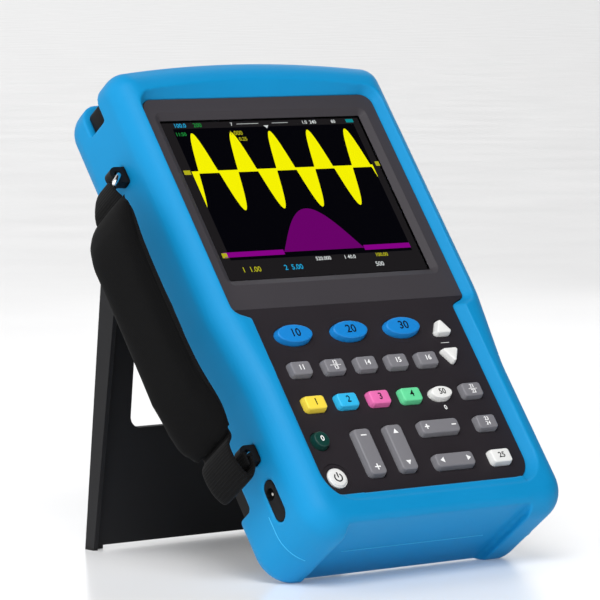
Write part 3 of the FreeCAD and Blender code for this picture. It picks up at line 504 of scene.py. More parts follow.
def makeBoot():
    back = (bootHigh - zero).y
    rings = []
    for fromSide, fromFace in quarterRound(10):
        outline = bootOutline(boot["frontRound"] * fromSide)
        rings.append(ring(outline, boot["front"] + boot["frontRound"] * fromFace))
    # the back edge is rounder at the shoulders, above the stand's hinge, than lower down
    wide, tight = bootOutline(0.0), bootOutline(boot["shoulderRound"])
    for fromSide, fromFace in reversed(quarterRound(10)):
        one = []
        for far, near in zip(wide, tight):
            rise = min(max((far.y - boot["shoulderStart"]) / boot["shoulderRun"], 0), 1)
            ease = rise * rise * (3 - 2 * rise)
            radius = boot["backRound"] + (boot["shoulderRound"] - boot["backRound"]) * ease
            spot = far.lerp(near, radius * fromSide / boot["shoulderRound"])
            one.append(Vector((spot.x, back - radius * fromFace, spot.y)))
        rings.append(one)
    made = newObject("protectiveBoot", *loft(rings))
    top = (bootHigh - zero).z
    base = (bootLow - zero).z
    # the bevel round the panel runs on past the boot's face, and is narrower along the top
    lip = []
    for share in (0.0, 0.5, 1.0, 1.4):
        narrower = Vector((0, (boot["bevelTop"] - boot["bevelSide"]) * share))
        wide = [
            (p + narrower if p.y > panel["top"] - 1 else p, r)
            for p, r in grown(panelCorners, boot["bevelSide"] * share)
        ]
        lip.append(ring(
            outlinePoints(wide, arcSteps=8, edgeSteps=16, bow=boot["bevelBow"] * share),
            boot["bevelEdge"] + (boot["front"] - boot["bevelEdge"]) * share,
        ))
    cutAway(made, newObject("lip", *loft(lip)))
    steps = 24
    half = boot["recessTopHalf"]
    over = top + clear["end"]
    profile = [
        Vector((-half + 2 * half * i / steps, 0, top - boot["recessBow"] * (2 * i / steps - 1) ** 2))
        for i in range(steps + 1)
    ]
    profile += [Vector((half, 0, over)), Vector((-half, 0, over))]
    ends = [[p + Vector((0, y, 0)) for p in profile] for y in (clear["front"], clear["back"])]
    cutAway(made, newObject("topRecess", *loft(ends)))
    left, right = boot["recessBottomLeft"], boot["recessBottomRight"]
    floor = base + boot["recessBottom"]
    cutAway(made, boxObject(
        "bottomRecess", (left, clear["front"], base - clear["end"]), (right, clear["back"], floor)
    ))
    # between the bumpers the front runs further down and turns under in a tight round
    radius = boot["keelRound"]
    front = boot["keelFront"]
    section = [Vector((0, front, 0))]
    for fromFloor, fromFace in quarterRound(8):
        section.append(Vector((0, front + radius * fromFace, floor + radius * fromFloor)))
    section += [Vector((0, boot["frontRound"], floor)), Vector((0, boot["frontRound"], 0))]
    keel = newObject("keel", *loft([[p + Vector((x, 0, 0)) for p in section] for x in (left, right)]))
    joinTo(made, keel)
    opening = outlinePoints(panelCorners, arcSteps=8)
    caseCorners = roundedRectangle(-case["half"], case["half"], case["bottom"], case["top"], case["corner"])
    cavity = outlinePoints(grown(caseCorners, case["gap"]), arcSteps=8)
    cavityEnds = [ring(cavity, case["front"]), ring(cavity, case["back"] + case["gap"])]
    cutAway(made, newObject("cavity", *loft(cavityEnds)))
    openingEnds = [ring(opening, boot["front"] - 2), ring(opening, case["front"] + 1)]
    cutAway(made, newObject("opening", *loft(openingEnds)))
    bay = boot["bayHalf"]
    side = clear["side"]
    cutAway(made, boxObject(
        "bay", (-bay, boot["bayFront"], case["top"] - boot["bayOverlap"]),
        (bay, case["back"] - boot["bayWall"], over),
    ))
    cutAway(made, boxObject(
        "corners", (-side, boot["bayFront"], boot["bayCornerBottom"]), (side, boot["bayCornerBack"], over),
        boot["bayRound"],
    ))
    cutAway(made, newObject("slot", *slotSolid()))
    for lug in ("strap_lug_top", "strap_lug_bottom"):
        low, high = deviceBox(lug)
        cutAway(made, boxObject(
            "lugHole", (-side, low.y - boot["lugGap"], low.z - boot["lugGap"]),
            (-case["half"] + 1, high.y + boot["lugGap"], high.z + boot["lugGap"]),
        ))
    cutAway(made, boxObject(
        "relief", (-side, boot["reliefDepth"], boot["reliefLow"]), (side, clear["back"], boot["reliefHigh"]),
        boot["reliefRound"],
    ))
    # the heel is trimmed level with the table
    cutAway(made, newObject("heel", tableCorners(), boxFaces))
    remeshed(made, boot["voxel"])
    soften = made.modifiers.new("soften", "SMOOTH")
    soften.factor = 0.5
    soften.iterations = boot["smoothing"]
    settle(made)
    triangles = sum(len(f.vertices) - 2 for f in made.data.polygons)
    if triangles > boot["faces"]:
        thin = made.modifiers.new("thin", "DECIMATE")
        thin.ratio = boot["faces"] / triangles
        settle(made)
    return made


# the power inlet's slot: straight sides and two round ends, less a gap all round
def slotSolid(gap=0.0, outside=-clear["side"], inside=0.5 - case["half"]):
    radius = (inletSlot["width"] - 2 * gap) / 2
    length = inletSlot["length"] - 2 * gap
    height = inletSlot["height"]
    points = []
    for middle, start in ((height + length / 2 - radius, 0), (height - length / 2 + radius, math.pi)):
        for i in range(13):
            angle = start + math.pi * i / 12
            points.append((inletSlot["depth"] + radius * math.cos(angle), middle + radius * math.sin(angle)))
    return loft([[Vector((x, y, z)) for y, z in points] for x in (outside, inside)])


# a block of table in metres, 600 mm square and 200 mm deep, seen from the instrument's axes
def tableCorners():
    back = toRow.inverted()
    return [back @ Vector((x, y, z)) for x in (-0.3, 0.3) for y in (-0.3, 0.3) for z in (-0.2, 0.0)]


bootPiece = makeBoot()
bootTree = BVHTree.FromObject(bootPiece, bpy.context.evaluated_depsgraph_get())


# the fine line that the mould leaves, round the lower end
def flashLine():
    wide = bootOutline(-boot["flashOut"])
    fine = boot["flashFine"]
    wide = [a.lerp(b, k / fine) for a, b in zip(wide, wide[1:] + wide[:1]) for k in range(fine)]
    half = boot["flashHalf"]
    points = []
    for p in wide:
        if p.y > boot["flashTop"]:
            continue
        middle = Vector((max(min(p.x, half), -half), boot["flashDepth"], max(p.y, boot["flashLow"])))
        outside = Vector((p.x, boot["flashDepth"], p.y))
        hit = bootTree.ray_cast(outside, (middle - outside).normalized())[0]
        if hit:
            points.append(hit)
    points.sort(key=lambda q: math.atan2(q.x, -q.z))
    return points


def tube(name, points, radius, sides=6):
    rings = []
    for i, p in enumerate(points):
        along = (points[min(i + 1, len(points) - 1)] - points[max(i - 1, 0)]).normalized()
        first = along.orthogonal().normalized() if i == 0 else (first - along * first.dot(along)).normalized()
        second = along.cross(first)
        rings.append([p + (first * c + second * q) * radius for c, q in roundTurns(sides)])
    return newObject(name, *loft(rings))


def splitRuns(points, gap):
    runs = [[points[0]]]
    for before, after in zip(points, points[1:]):
        if (after - before).length > gap:
            runs.append([])
        runs[-1].append(after)
    return [run for run in runs if len(run) > 3]


for number, run in enumerate(splitRuns(flashLine(), boot["flashGap"])):
    seam = tube(f"mouldSeam{number + 1}", run, boot["flashRadius"])
    # the seam takes the paler copy of the boot's rubber, a painted highlight
    placePiece(seam, seamRubberPaintedHighlight, "device")
placePiece(bootPiece, bootRubber, "device")
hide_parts("protective_boot")
print("boot ready")


# the case's side wall stands out into the slot round the power inlet, nearly flush with the boot
inletFace = {
    "out": 73.3, "gap": 0.35, "hole": 2.9, "floor": 70.5, "edge": 0.4,
    "pin": 0.65, "pinEnd": 72.0, "pinTip": 0.3,
}


def makeInletFace():
    made = newObject("inletFace", *slotSolid(inletFace["gap"], -inletFace["out"], -case["half"]))
    middle, radius = middleOf("power_inlet"), inletFace["hole"]
    hole = [
        [Vector((x, middle.y + radius * c, middle.z + radius * q)) for c, q in roundTurns(32)]
        for x in (-clear["side"], -inletFace["floor"])
    ]
    cutAway(made, newObject("inletHole", *loft(hole)))
    roundEdges(made, inletFace["edge"])
    return made


placePiece(makeInletFace(), caseAbs, "device", angle=35)
pinMiddle = middleOf("power_inlet")
pinStops = (inletFace["floor"], inletFace["pinEnd"] - inletFace["pinTip"], inletFace["pinEnd"])
pinAt = [Vector((-x, pinMiddle.y, pinMiddle.z)) for x in pinStops]
placePiece(tube("inletPin", pinAt, inletFace["pin"], sides=16), nickelPlate, "device", angle=35)

# the case's corners fill the boot's two upper corner openings, a little below its surface
shoulder = {"out": 76.4, "in": 64.0, "front": 14.8, "back": 27.7, "low": 213.3, "high": 224.5, "round": 2.0}
for side, name in ((-1, "leftShoulder"), (1, "rightShoulder")):
    outer, inner = side * shoulder["out"], side * shoulder["in"]
    made = boxObject(
        name, (min(outer, inner), shoulder["front"], shoulder["low"]),
        (max(outer, inner), shoulder["back"], shoulder["high"]), shoulder["round"],
    )
    placePiece(made, caseAbs, "device", angle=35)

keys = {
    "flange": 0.9, "taper": 0.55, "edge": 0.75, "dome": 0.12, "below": 2.0,
    "triangleRound": 1.6, "triangleOut": 0.9, "triangleTip": 1.2,
    "collarGap": 0.25, "collarOut": 2.6, "collarBack": 0.9, "collarProud": 0.02,
    "markHeight": 0.03, "markThickness": 0.04, "markSink": 0.1, "digitScale": 1.38, "digitBold": 0.05,
}
# each key: corner radius or shape, silicone, and its marks as (sign, size, across, up)
keyLooks = {
    "mode_key_1": ("oval", "blue_key", [("10", 4.2, 0, 0)]),
    "mode_key_2": ("oval", "blue_key", [("20", 4.2, 0, 0)]),
    "mode_key_3": ("oval", "blue_key", [("30", 4.2, 0, 0)]),
    "menu_key_1": (2.0, "grey_key", [("11", 2.6, 0, 0)]),
    "menu_key_2": (2.0, "grey_key", [("12", 1.9, 0, 1.35), ("13", 1.9, 0, -1.35), ("bar", 6.0, 0, 0)]),
    "menu_key_3": (2.0, "grey_key", [("14", 2.6, 0, 0)]),
    "menu_key_4": (2.0, "grey_key", [("15", 2.6, 0, 0)]),
    "menu_key_5": (2.0, "grey_key", [("16", 2.6, 0, 0)]),
    "yellow_key": (2.0, "yellow_key", [("1", 3.4, 0, 0)]),
    "cyan_key": (2.0, "cyan_key", [("2", 3.4, 0, 0)]),
    "pink_key": (2.0, "pink_key", [("3", 3.4, 0, 0)]),
    "mint_key": (2.0, "mint_key", [("4", 3.4, 0, 0)]),
    "trigger_level_key": ("oval", "white_key", [("50", 2.9, 0, 0)]),
    "run_key": (2.0, "grey_key", [("21", 1.9, 0, 1.35), ("22", 1.9, 0, -1.35), ("bar", 5.0, 0, 0)]),
    "single_key": (2.0, "grey_key", [("23", 1.9, 0, 1.2), ("24", 1.9, 0, -1.2)]),
    "auto_key": (2.0, "white_key", [("25", 2.8, 0, 0)]),
    "user_key": (4.4, "green_key", [("0", 2.8, 0, 0)]),
    "power_key": (4.9, "white_key", [("power", 5.0, 0, 0)]),
    "volts_rocker": (2.4, "grey_key", [("-", 4.5, 0, 8.2), ("+", 4.5, 0, -8.2)]),
    "position_rocker": (2.4, "grey_key", [("up", 2.8, 0, 8.2), ("down", 2.8, 0, -8.2)]),
    "time_rocker": (2.4, "grey_key", [("+", 3.6, -7.8, 0), ("-", 3.6, 7.8, 0)]),
    "scroll_rocker": (2.4, "grey_key", [("left", 2.8, -7.8, 0), ("right", 2.8, 7.8, 0)]),
    "level_up_key": ("up", "white_key", []),
    "level_down_key": ("down", "white_key", []),
}


def keyCorners(node, rounding):
    low, high = deviceBox(node)
    flange = keys["flange"]
    x0, x1, z0, z1 = low.x + flange, high.x - flange, low.z + flange, high.z - flange
    if rounding in ("up", "down"):
        # the rounded tips stay inside the box, so the corners stand a little outside it
        r, out, tip = keys["triangleRound"], keys["triangleOut"], keys["triangleTip"]
        middle = (x0 + x1) / 2
        if rounding == "up":
            return [corner(x0 - out, z0, r), corner(middle, z1 + tip, r), corner(x1 + out, z0, r)]
        return [corner(x1 + out, z1, r), corner(middle, z0 - tip, r), corner(x0 - out, z1, r)]
    radius = min(rounding, (x1 - x0) / 2 - 0.05, (z1 - z0) / 2 - 0.05)
    return roundedRectangle(x0, x1, z0, z1, radius)


def keyOutline(node, rounding, inset):
    if rounding != "oval":
        return outlinePoints(grown(keyCorners(node, rounding), -inset), arcSteps=8, edgeSteps=4)
    low, high = deviceBox(node)
    middle = middleOf(node)
    wide = (high.x - low.x) / 2 - keys["flange"] - inset
    tall = (high.z - low.z) / 2 - keys["flange"] - inset
    return [Vector((middle.x - wide * c, middle.z + tall * q)) for c, q in roundTurns(64)]


def makeKey(node, rounding, material):
    top = deviceBox(node)[0].y + keys["dome"]
    rings = []

    def addRing(inset, depth):
        rings.append(ring(keyOutline(node, rounding, inset), depth))

    addRing(0.0, keys["below"])
    addRing(0.0, 0.1)
    side = keys["taper"]
    edge = keys["edge"]
    addRing(side * 0.4, top * 0.4)
    addRing(side, top + edge)
    for fromTop, fromSide in quarterRound(5)[1:]:
        addRing(side + edge * fromSide, top + edge * fromTop)
    last = rings[-1]
    centre = sum(last, Vector((0, 0, 0))) / len(last)
    for share in (0.85, 0.6, 0.3, 0.1):
        rise = keys["dome"] * (1 - share ** 2)
        rings.append([centre.lerp(p, share) - Vector((0, rise, 0)) for p in last])
    made = newObject(node + "Cap", *loft(rings))
    placePiece(made, material, node)
    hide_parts(node)
    return top - keys["dome"]


def slabOf(name, outlines, level, thickness):
    verts, faces = [], []
    for points in outlines:
        more, sides = loft([[Vector((x, y, z)) for x, z in points] for y in (level - thickness, level)])
        faces += [tuple(i + len(verts) for i in face) for face in sides]
        verts += more
    return newObject(name, verts, faces)


def numberMesh(name, text, size, x, z, level, thickness):
    curve = bpy.data.curves.new(name, "FONT")
    curve.body = text
    curve.size = size * keys["digitScale"]
    curve.align_x = "CENTER"
    curve.align_y = "CENTER"
    curve.extrude = thickness / 2
    curve.resolution_u = 3
    curve.offset = keys["digitBold"]
    source = intoScene(name + "Source", curve)
    bpy.context.view_layer.update()
    mesh = settledMesh(source)
    bpy.data.objects.remove(source)
    mesh.transform(Matrix.Translation((x, level - thickness / 2, z)) @ Matrix.Rotation(math.pi / 2, 4, "X"))
    return intoScene(name, mesh)


def ringBand(radius, width, start, end, steps=28):
    angles = [math.radians(start + (end - start) * i / steps) for i in range(steps + 1)]
    outer, inner = [
        [(reach * math.sin(a), reach * math.cos(a)) for a in angles]
        for reach in (radius + width / 2, radius - width / 2)
    ]
    return outer + inner[::-1]


def rectangle(x0, x1, z0, z1):
    return [(x0, z0), (x1, z0), (x1, z1), (x0, z1)]


# half widths of the strokes, and shares of half the sign's size
signs = {
    "arrow": 0.8, "barHalf": 0.12, "reach": 0.7, "strokeHalf": 0.3,
    "stemHalf": 0.32, "stemFoot": -0.1, "arcRadius": 0.78, "arcWidth": 0.62, "arcStart": 38, "arcEnd": 322,
}


def symbolOutlines(kind, size):
    half = size / 2
    tip = half * signs["arrow"] * (1 if kind in ("up", "right") else -1)
    a, b = half * signs["reach"], signs["strokeHalf"]
    if kind in ("up", "down"):
        return [[(-half, -tip), (0, tip), (half, -tip)]]
    if kind in ("left", "right"):
        return [[(-tip, -half), (tip, 0), (-tip, half)]]
    if kind == "bar":
        return [rectangle(-half, half, -signs["barHalf"], signs["barHalf"])]
    if kind == "-":
        return [rectangle(-a, a, -b, b)]
    if kind == "+":
        return [[
            (-a, -b), (-b, -b), (-b, -a), (b, -a), (b, -b), (a, -b),
            (a, b), (b, b), (b, a), (-b, a), (-b, b), (-a, b),
        ]]
    if kind == "power":
        stem = rectangle(-signs["stemHalf"], signs["stemHalf"], signs["stemFoot"], half)
        arc = ringBand(half * signs["arcRadius"], signs["arcWidth"], signs["arcStart"], signs["arcEnd"])
        return [arc, stem]
    return []


# a printed mark: one of the signs above, or else its digits
def makeMark(name, kind, size, x, z, level, thickness):
    outlines = [[(x + px, z + pz) for px, pz in one] for one in symbolOutlines(kind, size)]
    if outlines:
        return slabOf(name, outlines, level, thickness)
    return numberMesh(name, kind, size, x, z, level, thickness)


def makeMarks(node, marks, ink, level):
    middle = middleOf(node)
    foot = level - keys["markHeight"] + keys["markSink"]
    thickness = keys["markThickness"] + keys["markSink"]
    for number, (kind, size, dx, dz) in enumerate(marks):
        name = f"{node}Mark{number + 1}"
        made = makeMark(name, kind, size, middle.x + dx, middle.z + dz, foot, thickness)
        placePiece(made, ink, node, smooth=False)


# the panel's openings are straight-sided, so a thin collar closes them round each oval key
def makeCollar(node):
    inner, outer = -keys["collarGap"], -keys["collarOut"]
    back, face = keys["collarBack"], -keys["collarProud"]
    rings = [
        ring(keyOutline(node, "oval", inset), depth)
        for inset, depth in ((inner, back), (inner, face), (outer, face), (outer, back))
    ]
    collar = newObject(node + "Collar", *loft(rings, hollow=True))
    placePiece(collar, lowerPanel, "device", smooth=False)


for node, (rounding, slot, marks) in keyLooks.items():
    if rounding == "oval":
        makeCollar(node)
    level = makeKey(node, rounding, keySilicone[slot])
    makeMarks(node, marks, whiteInk if slot in ("grey_key", "green_key") else blackInk, level)
print("keys ready")

# marks printed on the keypad panel: a bar between the level keys and a digit under the white oval
panelMarks = {"marks": [("bar", 5.0, 43.9, 74.4), ("0", 2.4, 27.2, 40.6)], "foot": 0.02, "thickness": 0.05}
for number, mark in enumerate(panelMarks["marks"]):
    made = makeMark(f"panelMark{number + 1}", *mark, panelMarks["foot"], panelMarks["thickness"])
    placePiece(made, whiteInk, smooth=False)

# the picture on the display: each layer lies two films in front of the one before
screen = {
    "left": -58.75, "right": 56.45, "bottom": 116.2, "top": 202.6, "level": 3.09, "film": 0.012,
    "plotLeft": -53.3, "plotRight": 52.6, "plotTop": 199.3, "plotBottom": 127.0,
    "waveBase": 175.1, "waveHeight": 21.6, "wavePeriod": 22.4, "waveStart": -49.4, "waveLine": 0.65,
    "humpLeft": -21.6, "humpRight": 25.2, "humpPeak": 152.9, "humpFoot": 1.3, "humpPower": 1.05,
    "bandTop": 131.3, "bandBottom": 128.6, "bandLeft": -55.8,
}
yellowGlow = litDisplay("yellowTraceGlow", "#FFFB00")
purpleGlow = litDisplay("purpleTraceGlow", "#6C006C")
purpleLineGlow = litDisplay("purpleLineGlow", "#8B008B")
blackGlow = litDisplay("blackPlotGlow", "#020207")
stripGlow = litDisplay("greyStripGlow", "#1E1C1E")
whiteGlow = litDisplay("whiteGlow", "#D8DCDC")
cyanGlow = litDisplay("cyanGlow", "#1EA6D8")
tealGlow = litDisplay("tealGlow", "#0E8C92")
greenGlow = litDisplay("greenGlow", "#1E8E3C")
oliveGlow = litDisplay("oliveGlow", "#B8B41E")


def screenPiece(name, outlines, layer, material):
    level = screen["level"] - layer * 2 * screen["film"]
    return placePiece(slabOf(name, outlines, level, screen["film"]), material, smooth=False)


def wave(x):
    return math.sin(2 * math.pi * (x - screen["waveStart"]) / screen["wavePeriod"])


def makeWave():
    line = screen["waveLine"]
    left, right = screen["plotLeft"], screen["plotRight"]
    steps = 420
    upper, lower = [], []
    for i in range(steps + 1):
        x = left + (right - left) * i / steps
        height = wave(x) * screen["waveHeight"]
        upper.append((x, screen["waveBase"] + max(height, line)))
        lower.append((x, screen["waveBase"] + min(height, -line)))
    verts, faces = [], []
    for k, (a, b) in enumerate(zip(lower, upper)):
        for depth in (0, screen["film"]):
            level = screen["level"] - 4 * screen["film"] - depth
            verts += [Vector((a[0], level, a[1])), Vector((b[0], level, b[1]))]
        if k:
            m = (k - 1) * 4
            n = k * 4
            faces += [
                (m, n, n + 1, m + 1), (m + 2, m + 3, n + 3, n + 2),
                (m, m + 2, n + 2, n), (m + 1, n + 1, n + 3, m + 3),
            ]
    faces += [(0, 1, 3, 2), (len(verts) - 4, len(verts) - 2, len(verts) - 1, len(verts) - 3)]
    return newObject("yellowTrace", verts, faces)


def humpOutline():
    left, right, base = screen["humpLeft"], screen["humpRight"], screen["bandBottom"] + screen["humpFoot"]
    steps = 40
    points = []
    for i in range(steps + 1):
        t = i / steps
        rise = math.sin(math.pi * t) ** screen["humpPower"]
        points.append((left + (right - left) * t, base + (screen["humpPeak"] - base) * rise))
    return points


def screenArea(*edges):
    return rectangle(*[screen[edge] for edge in edges])


screenPiece("plotArea", [screenArea("plotLeft", "plotRight", "plotBottom", "plotTop")], 1, blackGlow)
screenPiece("screenFrame", [
    screenArea("left", "plotLeft", "bottom", "plotTop"),
    screenArea("plotRight", "right", "bottom", "plotTop"),
    screenArea("left", "right", "plotTop", "top"),
    screenArea("plotLeft", "plotRight", "bottom", "plotBottom"),
], 1, stripGlow)
placePiece(makeWave(), yellowGlow, smooth=False)
screenPiece("purpleHump", [humpOutline()], 2, purpleGlow)
screenPiece("purpleBand", [
    screenArea("bandLeft", "humpLeft", "bandBottom", "bandTop"),
    screenArea("humpRight", "plotRight", "bandBottom", "bandTop"),
], 2, purpleLineGlow)
screenPiece("batterySign", [rectangle(48.8, 53.2, 200.1, 202.0)], 3, tealGlow)
screenPiece("levelMarks", [
    rectangle(-57.8, -54.0, 174.0, 176.4), rectangle(54.6, 57.0, 174.9, 177.4),
    rectangle(-57.0, -54.0, 128.4, 131.0),
], 2, oliveGlow)
screenPiece("zoomMark", [
    [(-0.9, 199.9), (2.0, 199.9), (0.6, 198.2)],
    rectangle(-16, -3.2, 201.0, 201.25), rectangle(4.6, 14, 201.0, 201.25),
], 3, whiteGlow)
# each readout: digits, height, across, up, colour
screenText = [
    ("100.0", 2.3, -48.6, 201.0, cyanGlow), ("200", 2.3, -38.6, 201.0, greenGlow),
    ("7", 1.8, -19, 201.0, whiteGlow), ("1.0  240", 1.9, 26.5, 200.9, whiteGlow),
    ("60", 1.9, 41.0, 200.9, whiteGlow),
    ("11:50", 2.0, -50.0, 196.2, greenGlow), ("1.000", 2.4, -18.5, 196.0, oliveGlow),
    ("0.25", 2.0, -16.0, 192.6, oliveGlow), ("520.000", 2.0, -1.0, 125.3, whiteGlow),
    ("1 40.0", 2.0, 14.5, 125.3, whiteGlow), ("100.00", 2.0, 33.5, 125.6, oliveGlow),
    ("1  1.00", 2.8, -44.0, 121.5, oliveGlow), ("2  5.00", 2.8, -20.0, 121.5, cyanGlow),
    ("500", 2.4, 30.0, 120.6, whiteGlow),
]
for number, (text, size, x, z, material) in enumerate(screenText):
    level = screen["level"] - 6 * screen["film"]
    made = numberMesh(f"screenText{number + 1}", text, size, x, z, level, screen["film"])
    placePiece(made, material, smooth=False)
print("display ready")

# the strap bows out from the case, and drops back to it more steeply at its upper end
strap = {
    "y": 17.8, "padWidth": 42.0, "padThickness": 8.0, "webWidth": 24.0, "webNeck": 10.0, "webThick": 1.7,
    "padEnd": 1.0, "topBow": 8.5, "topSteep": 7, "lowBow": 7.5, "lowSteep": 4, "middleBow": 1.6,
    "voxel": 2.4, "travel": 2.2, "pressure": 4.0, "frames": 20, "smoothing": 14, "binding": 1.1,
    "padSquare": (0.55, 0.75), "webSquare": (0.3, 0.6), "inset": 1.2,
}
wideWay = Vector((0, 1, 0))     # across the strap's width, which is the instrument's depth


def padLine(t):
    # centreline of the sleeve from its lower end to its upper end, bowed away from the case
    low, high = deviceBox("strap_pad")
    z = low.z + strap["padEnd"] + (high.z - low.z - 2 * strap["padEnd"]) * t
    out = low.x + strap["padThickness"] / 2
    swing = 2 * t - 1
    if t > 0.5:
        bow = abs(swing) ** strap["topSteep"] * strap["topBow"]
    else:
        bow = swing ** strap["lowSteep"] * strap["lowBow"] + swing ** 2 * strap["middleBow"]
    return Vector((out + bow, strap["y"], z))


# a flattened ring: the lower its two powers, the squarer its section
def squashedRing(middle, wide, thick, powers, sides, turn=0.0):
    widePower, thickPower = powers
    points = []
    for c, q in roundTurns(sides, turn):
        side, rise = math.copysign(abs(c) ** widePower, c), math.copysign(abs(q) ** thickPower, q)
        points.append(middle + wide * side + thick * rise)
    return points


def sleeveRing(t, width, thickness):
    here = padLine(t)
    along = (padLine(min(t + 0.01, 1)) - padLine(max(t - 0.01, 0))).normalized()
    out = along.cross(wideWay).normalized()
    return squashedRing(here, wideWay * (width / 2), out * (thickness / 2), strap["padSquare"], 28)


# the sleeve thins and narrows over the last few rings at either end
def makePad():
    rings = []
    steps = 44
    for i in range(steps + 1):
        t = i / steps
        end = min(t, 1 - t) * steps
        swell = min(1.0, 0.35 + 0.65 * math.sqrt(min(end, 4) / 4))
        narrow = 1.0 - 0.3 * max(0.0, 1 - end / 4.0) ** 2
        rings.append(sleeveRing(t, (strap["padWidth"] + 0.5) * narrow, (strap["padThickness"] - 2.0) * swell))
    made = newObject("strapPad", *loft(rings))
    made.data.transform(toRow)
    remeshed(made, strap["voxel"] * mm)
    settle(made)
    inflate(made, strap["travel"] * mm)
    made.modifiers.new("smooth", "SMOOTH").iterations = strap["smoothing"]
    made.modifiers.new("finer", "SUBSURF").levels = 1
    made.modifiers["finer"].render_levels = 1
    settle(made)
    made.data.transform(toRow.inverted())
    return made


# the foam swells the sleeve a little: cloth under pressure, no point moving further than travel
def inflate(piece, travel):
    rest = [v.co.copy() for v in piece.data.vertices]
    cloth = piece.modifiers.new("cloth", "CLOTH")
    cloth.settings.use_pressure = True
    cloth.settings.uniform_pressure_force = strap["pressure"]
    cloth.settings.quality = 5
    cloth.settings.effector_weights.gravity = 0.0
    cloth.point_cache.frame_start = 1
    cloth.point_cache.frame_end = strap["frames"]
    for number in range(1, strap["frames"] + 1):
        bpy.context.scene.frame_set(number)
    settle(piece)
    for vertex, start in zip(piece.data.vertices, rest):
        move = vertex.co - start
        if move.length > travel:
            vertex.co = start + move.normalized() * travel
    bpy.context.scene.frame_set(1)


def ribbon(name, path, widths, thickness):
    rings = []
    for i, p in enumerate(path):
        along = (path[min(i + 1, len(path) - 1)] - path[max(i - 1, 0)]).normalized()
        out = along.cross(wideWay).normalized()
        wide, thick = wideWay * (widths[i] / 2), out * (thickness / 2)
        rings.append(squashedRing(p, wide, thick, strap["webSquare"], 16, turn=0.5))
    return newObject(name, *loft(rings))


# a smooth curve through the points, in count equal steps
def smoothPath(points, count):
    result = []
    for i in range(count + 1):
        t = i / count * (len(points) - 1)
        k = min(int(t), len(points) - 2)
        f = t - k
        p0, p1 = points[max(k - 1, 0)], points[k]
        p2, p3 = points[k + 1], points[min(k + 2, len(points) - 1)]
        bend = (2 * p0 - 5 * p1 + 4 * p2 - p3) * f * f
        twist = (3 * p1 - p0 - 3 * p2 + p3) * f ** 3
        result.append(0.5 * ((2 * p1) + (p2 - p0) * f + bend + twist))
    return result


pad = makePad()
padTree = BVHTree.FromObject(pad, bpy.context.evaluated_depsgraph_get())
placePiece(pad, padKnit, "device")
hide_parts("strap_pad")


# the pad's edge from end to end, evened out so that the binding runs smoothly
def edgePath(side, steps=60):
    points = []
    for i in range(steps + 1):
        t = 0.02 + 0.96 * i / steps
        here = padLine(t)
        hit = padTree.ray_cast(here + wideWay * (side * strap["padWidth"]), wideWay * -side)[0]
        if hit:
            points.append(hit)
    for sweep in range(12):
        middles = [(a + b + c) / 3 for a, b, c in zip(points, points[1:], points[2:])]
        points = points[:1] + middles + points[-1:]
    return points


for name, side in (("bindingFront", -1), ("bindingBack", 1)):
    made = tube(name, edgePath(side), strap["binding"], sides=10)
    placePiece(made, bindingTape, "device")


def shifted(point, dx, dz):
    return point + Vector((dx, 0, dz))


# just inside the lower left corner of a node's box
def cornerOf(node):
    low = deviceBox(node)[0]
    return Vector((low.x + strap["inset"], strap["y"], low.z + strap["inset"]))


# the tab goes round the upper ring and back under the sleeve
ringEnd = cornerOf("strap_ring_top")
padTop = padLine(0.97)
tabPath = smoothPath([
    shifted(ringEnd, 1.6, -1.0), shifted(ringEnd, 0.6, 1.9), shifted(ringEnd, -1.6, 0.6),
    shifted(ringEnd.lerp(padTop, 0.5), -2.2, 0.6), shifted(padTop, -0.8, 0), shifted(padLine(0.9), -1, 0),
], 40)
# the tab widens over the middle third of its path
neck, broad = strap["webNeck"], strap["webWidth"]
tabWidths = [neck + (broad - neck) * min(1, max(0, (i - 14) / 14)) ** 0.8 for i in range(41)]
tab = ribbon("strapTab", tabPath, tabWidths, strap["webThick"])
placePiece(tab, strapWebbing, "device")
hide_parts("strap_webbing_top")

# the loop hangs below the sleeve, goes up through the lower ring and back down inside itself
loopLeft = cornerOf("strap_webbing_bottom")
loopEnd = deviceBox("strap_webbing_bottom")[1].x - strap["inset"]
loopRight = Vector((loopEnd, strap["y"], loopLeft.z))
ringFoot = cornerOf("strap_ring_bottom")
loopPath = smoothPath([
    shifted(padLine(0.1), 0.5, 0), shifted(padLine(0.02), 0.3, -1), shifted(loopLeft, -0.2, 16),
    shifted(loopLeft, 0.4, 6), (loopLeft + loopRight) / 2, shifted(loopRight, 0, 5),
    shifted(loopRight, 0.3, 11), shifted(ringFoot, 1.5, 1.8), shifted(ringFoot, -1.2, 2.0),
    shifted(loopRight, -2.6, 12), shifted(loopRight, -2.4, 6),
], 90)
loop = ribbon("strapLoop", loopPath, [broad] * 91, strap["webThick"])
placePiece(loop, strapWebbing, "device")
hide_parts("strap_webbing_bottom")
print("strap ready")

studio = {
    "tableHalf": 300.0, "world": 1.05, "flag": 0.02, "flagAt": (0.62, -0.29, 0.73), "glow": 0.13,
    "key": 21.0, "fill": 1.5, "rim": 4.0,
}
table = newObject("floor", [Vector((x, z, 0)) for x, z in rectangle(-1, 1, -1, 1)], [(0, 1, 2, 3)])
table.data.transform(Matrix.Scale(studio["tableHalf"], 4))
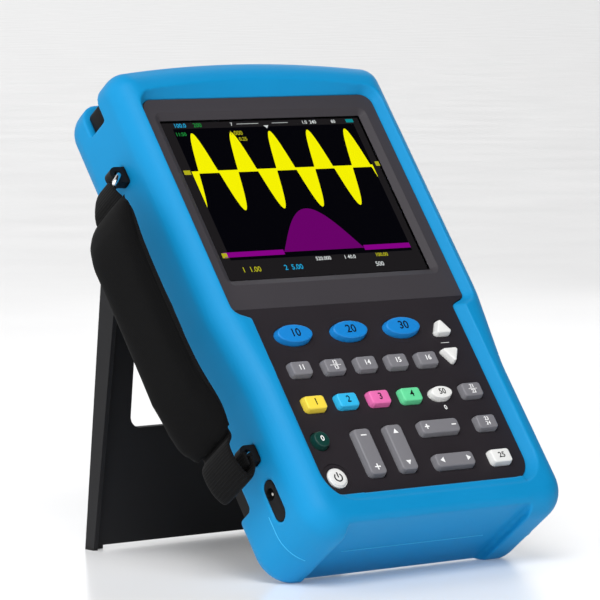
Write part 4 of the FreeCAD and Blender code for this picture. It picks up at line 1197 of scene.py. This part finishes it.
# white lacquer, sprayed and polished: satin, so it mirrors what stands on it only softly
# it glows faintly, which keeps it near white away from the lights
tablePaint, tableTree, tableShader, tablePlace = startMaterial(
    "lacqueredWhiteTable", "#FCFCFD", 0.2, Emission_Color=(1, 1, 1, 1), Emission_Strength=studio["glow"]
)
patchy = addNode(tableTree, "TexNoise", {"Vector": tablePlace}, {"Scale": 6.0, "Detail": 2.0})
gloss = addNode(tableTree, "MapRange", {"Value": patchy.outputs["Fac"]}, {"To Min": 0.16, "To Max": 0.26})
tableTree.links.new(gloss.outputs["Result"], tableShader.inputs["Roughness"])
table.data.materials.append(tablePaint)

world = bpy.data.worlds.new("studioWorld")
bpy.context.scene.world = world
world.use_nodes = True
# a white tent, with a black flag hung where the panel and the glass would mirror it
sky = world.node_tree
sky.nodes["Background"].inputs["Color"].default_value = (1, 1, 1, 1)
toward = addNode(sky, "TexCoord")
flag = addNode(sky, "VectorMath", {0: toward.outputs["Generated"]}, operation="DOT_PRODUCT")
flag.inputs[1].default_value = Vector(studio["flagAt"]).normalized()
tent = addNode(
    sky, "MapRange", {"Value": flag.outputs["Value"]},
    {"From Min": 0.1, "From Max": 0.8, "To Min": studio["world"], "To Max": studio["flag"]},
    interpolation_type="SMOOTHSTEP",
)
sky.links.new(tent.outputs["Result"], sky.nodes["Background"].inputs["Strength"])


def softbox(name, place, size, power, target=Vector((0, 0, 0.11))):
    light = bpy.data.lights.new(name, "AREA")
    light.shape = "RECTANGLE"
    light.size, light.size_y = size
    light.energy = power
    made = intoScene(name, light)
    made.location = place
    made.rotation_euler = (target - Vector(place)).to_track_quat("-Z", "Y").to_euler()


softbox("keySoftbox", (-0.7, -0.9, 1.3), (1.0, 0.8), studio["key"])
softbox("fillSoftbox", (-1.6, -0.6, 0.5), (0.8, 1.0), studio["fill"])
softbox("rimSoftbox", (0.9, 0.6, 0.9), (0.7, 1.2), studio["rim"])

view = {"place": (-1.102, -1.40755, 0.2686), "yaw": 38.13, "pitch": 4.79, "lens": 235.5, "sensor": 36.0}
camera = bpy.data.cameras.new("camera")
camera.lens = view["lens"]
camera.sensor_width = view["sensor"]
camera.clip_start, camera.clip_end = 0.05, 1000
cameraObject = intoScene("camera", camera)
yaw, pitch = math.radians(view["yaw"]), math.radians(view["pitch"])
aim = Vector((math.cos(pitch) * math.sin(yaw), math.cos(pitch) * math.cos(yaw), -math.sin(pitch)))
cameraObject.location = view["place"]
cameraObject.rotation_euler = aim.to_track_quat("-Z", "Y").to_euler()
bpy.context.scene.camera = cameraObject
bpy.context.scene.view_settings.view_transform = "Standard"
print("studio ready")
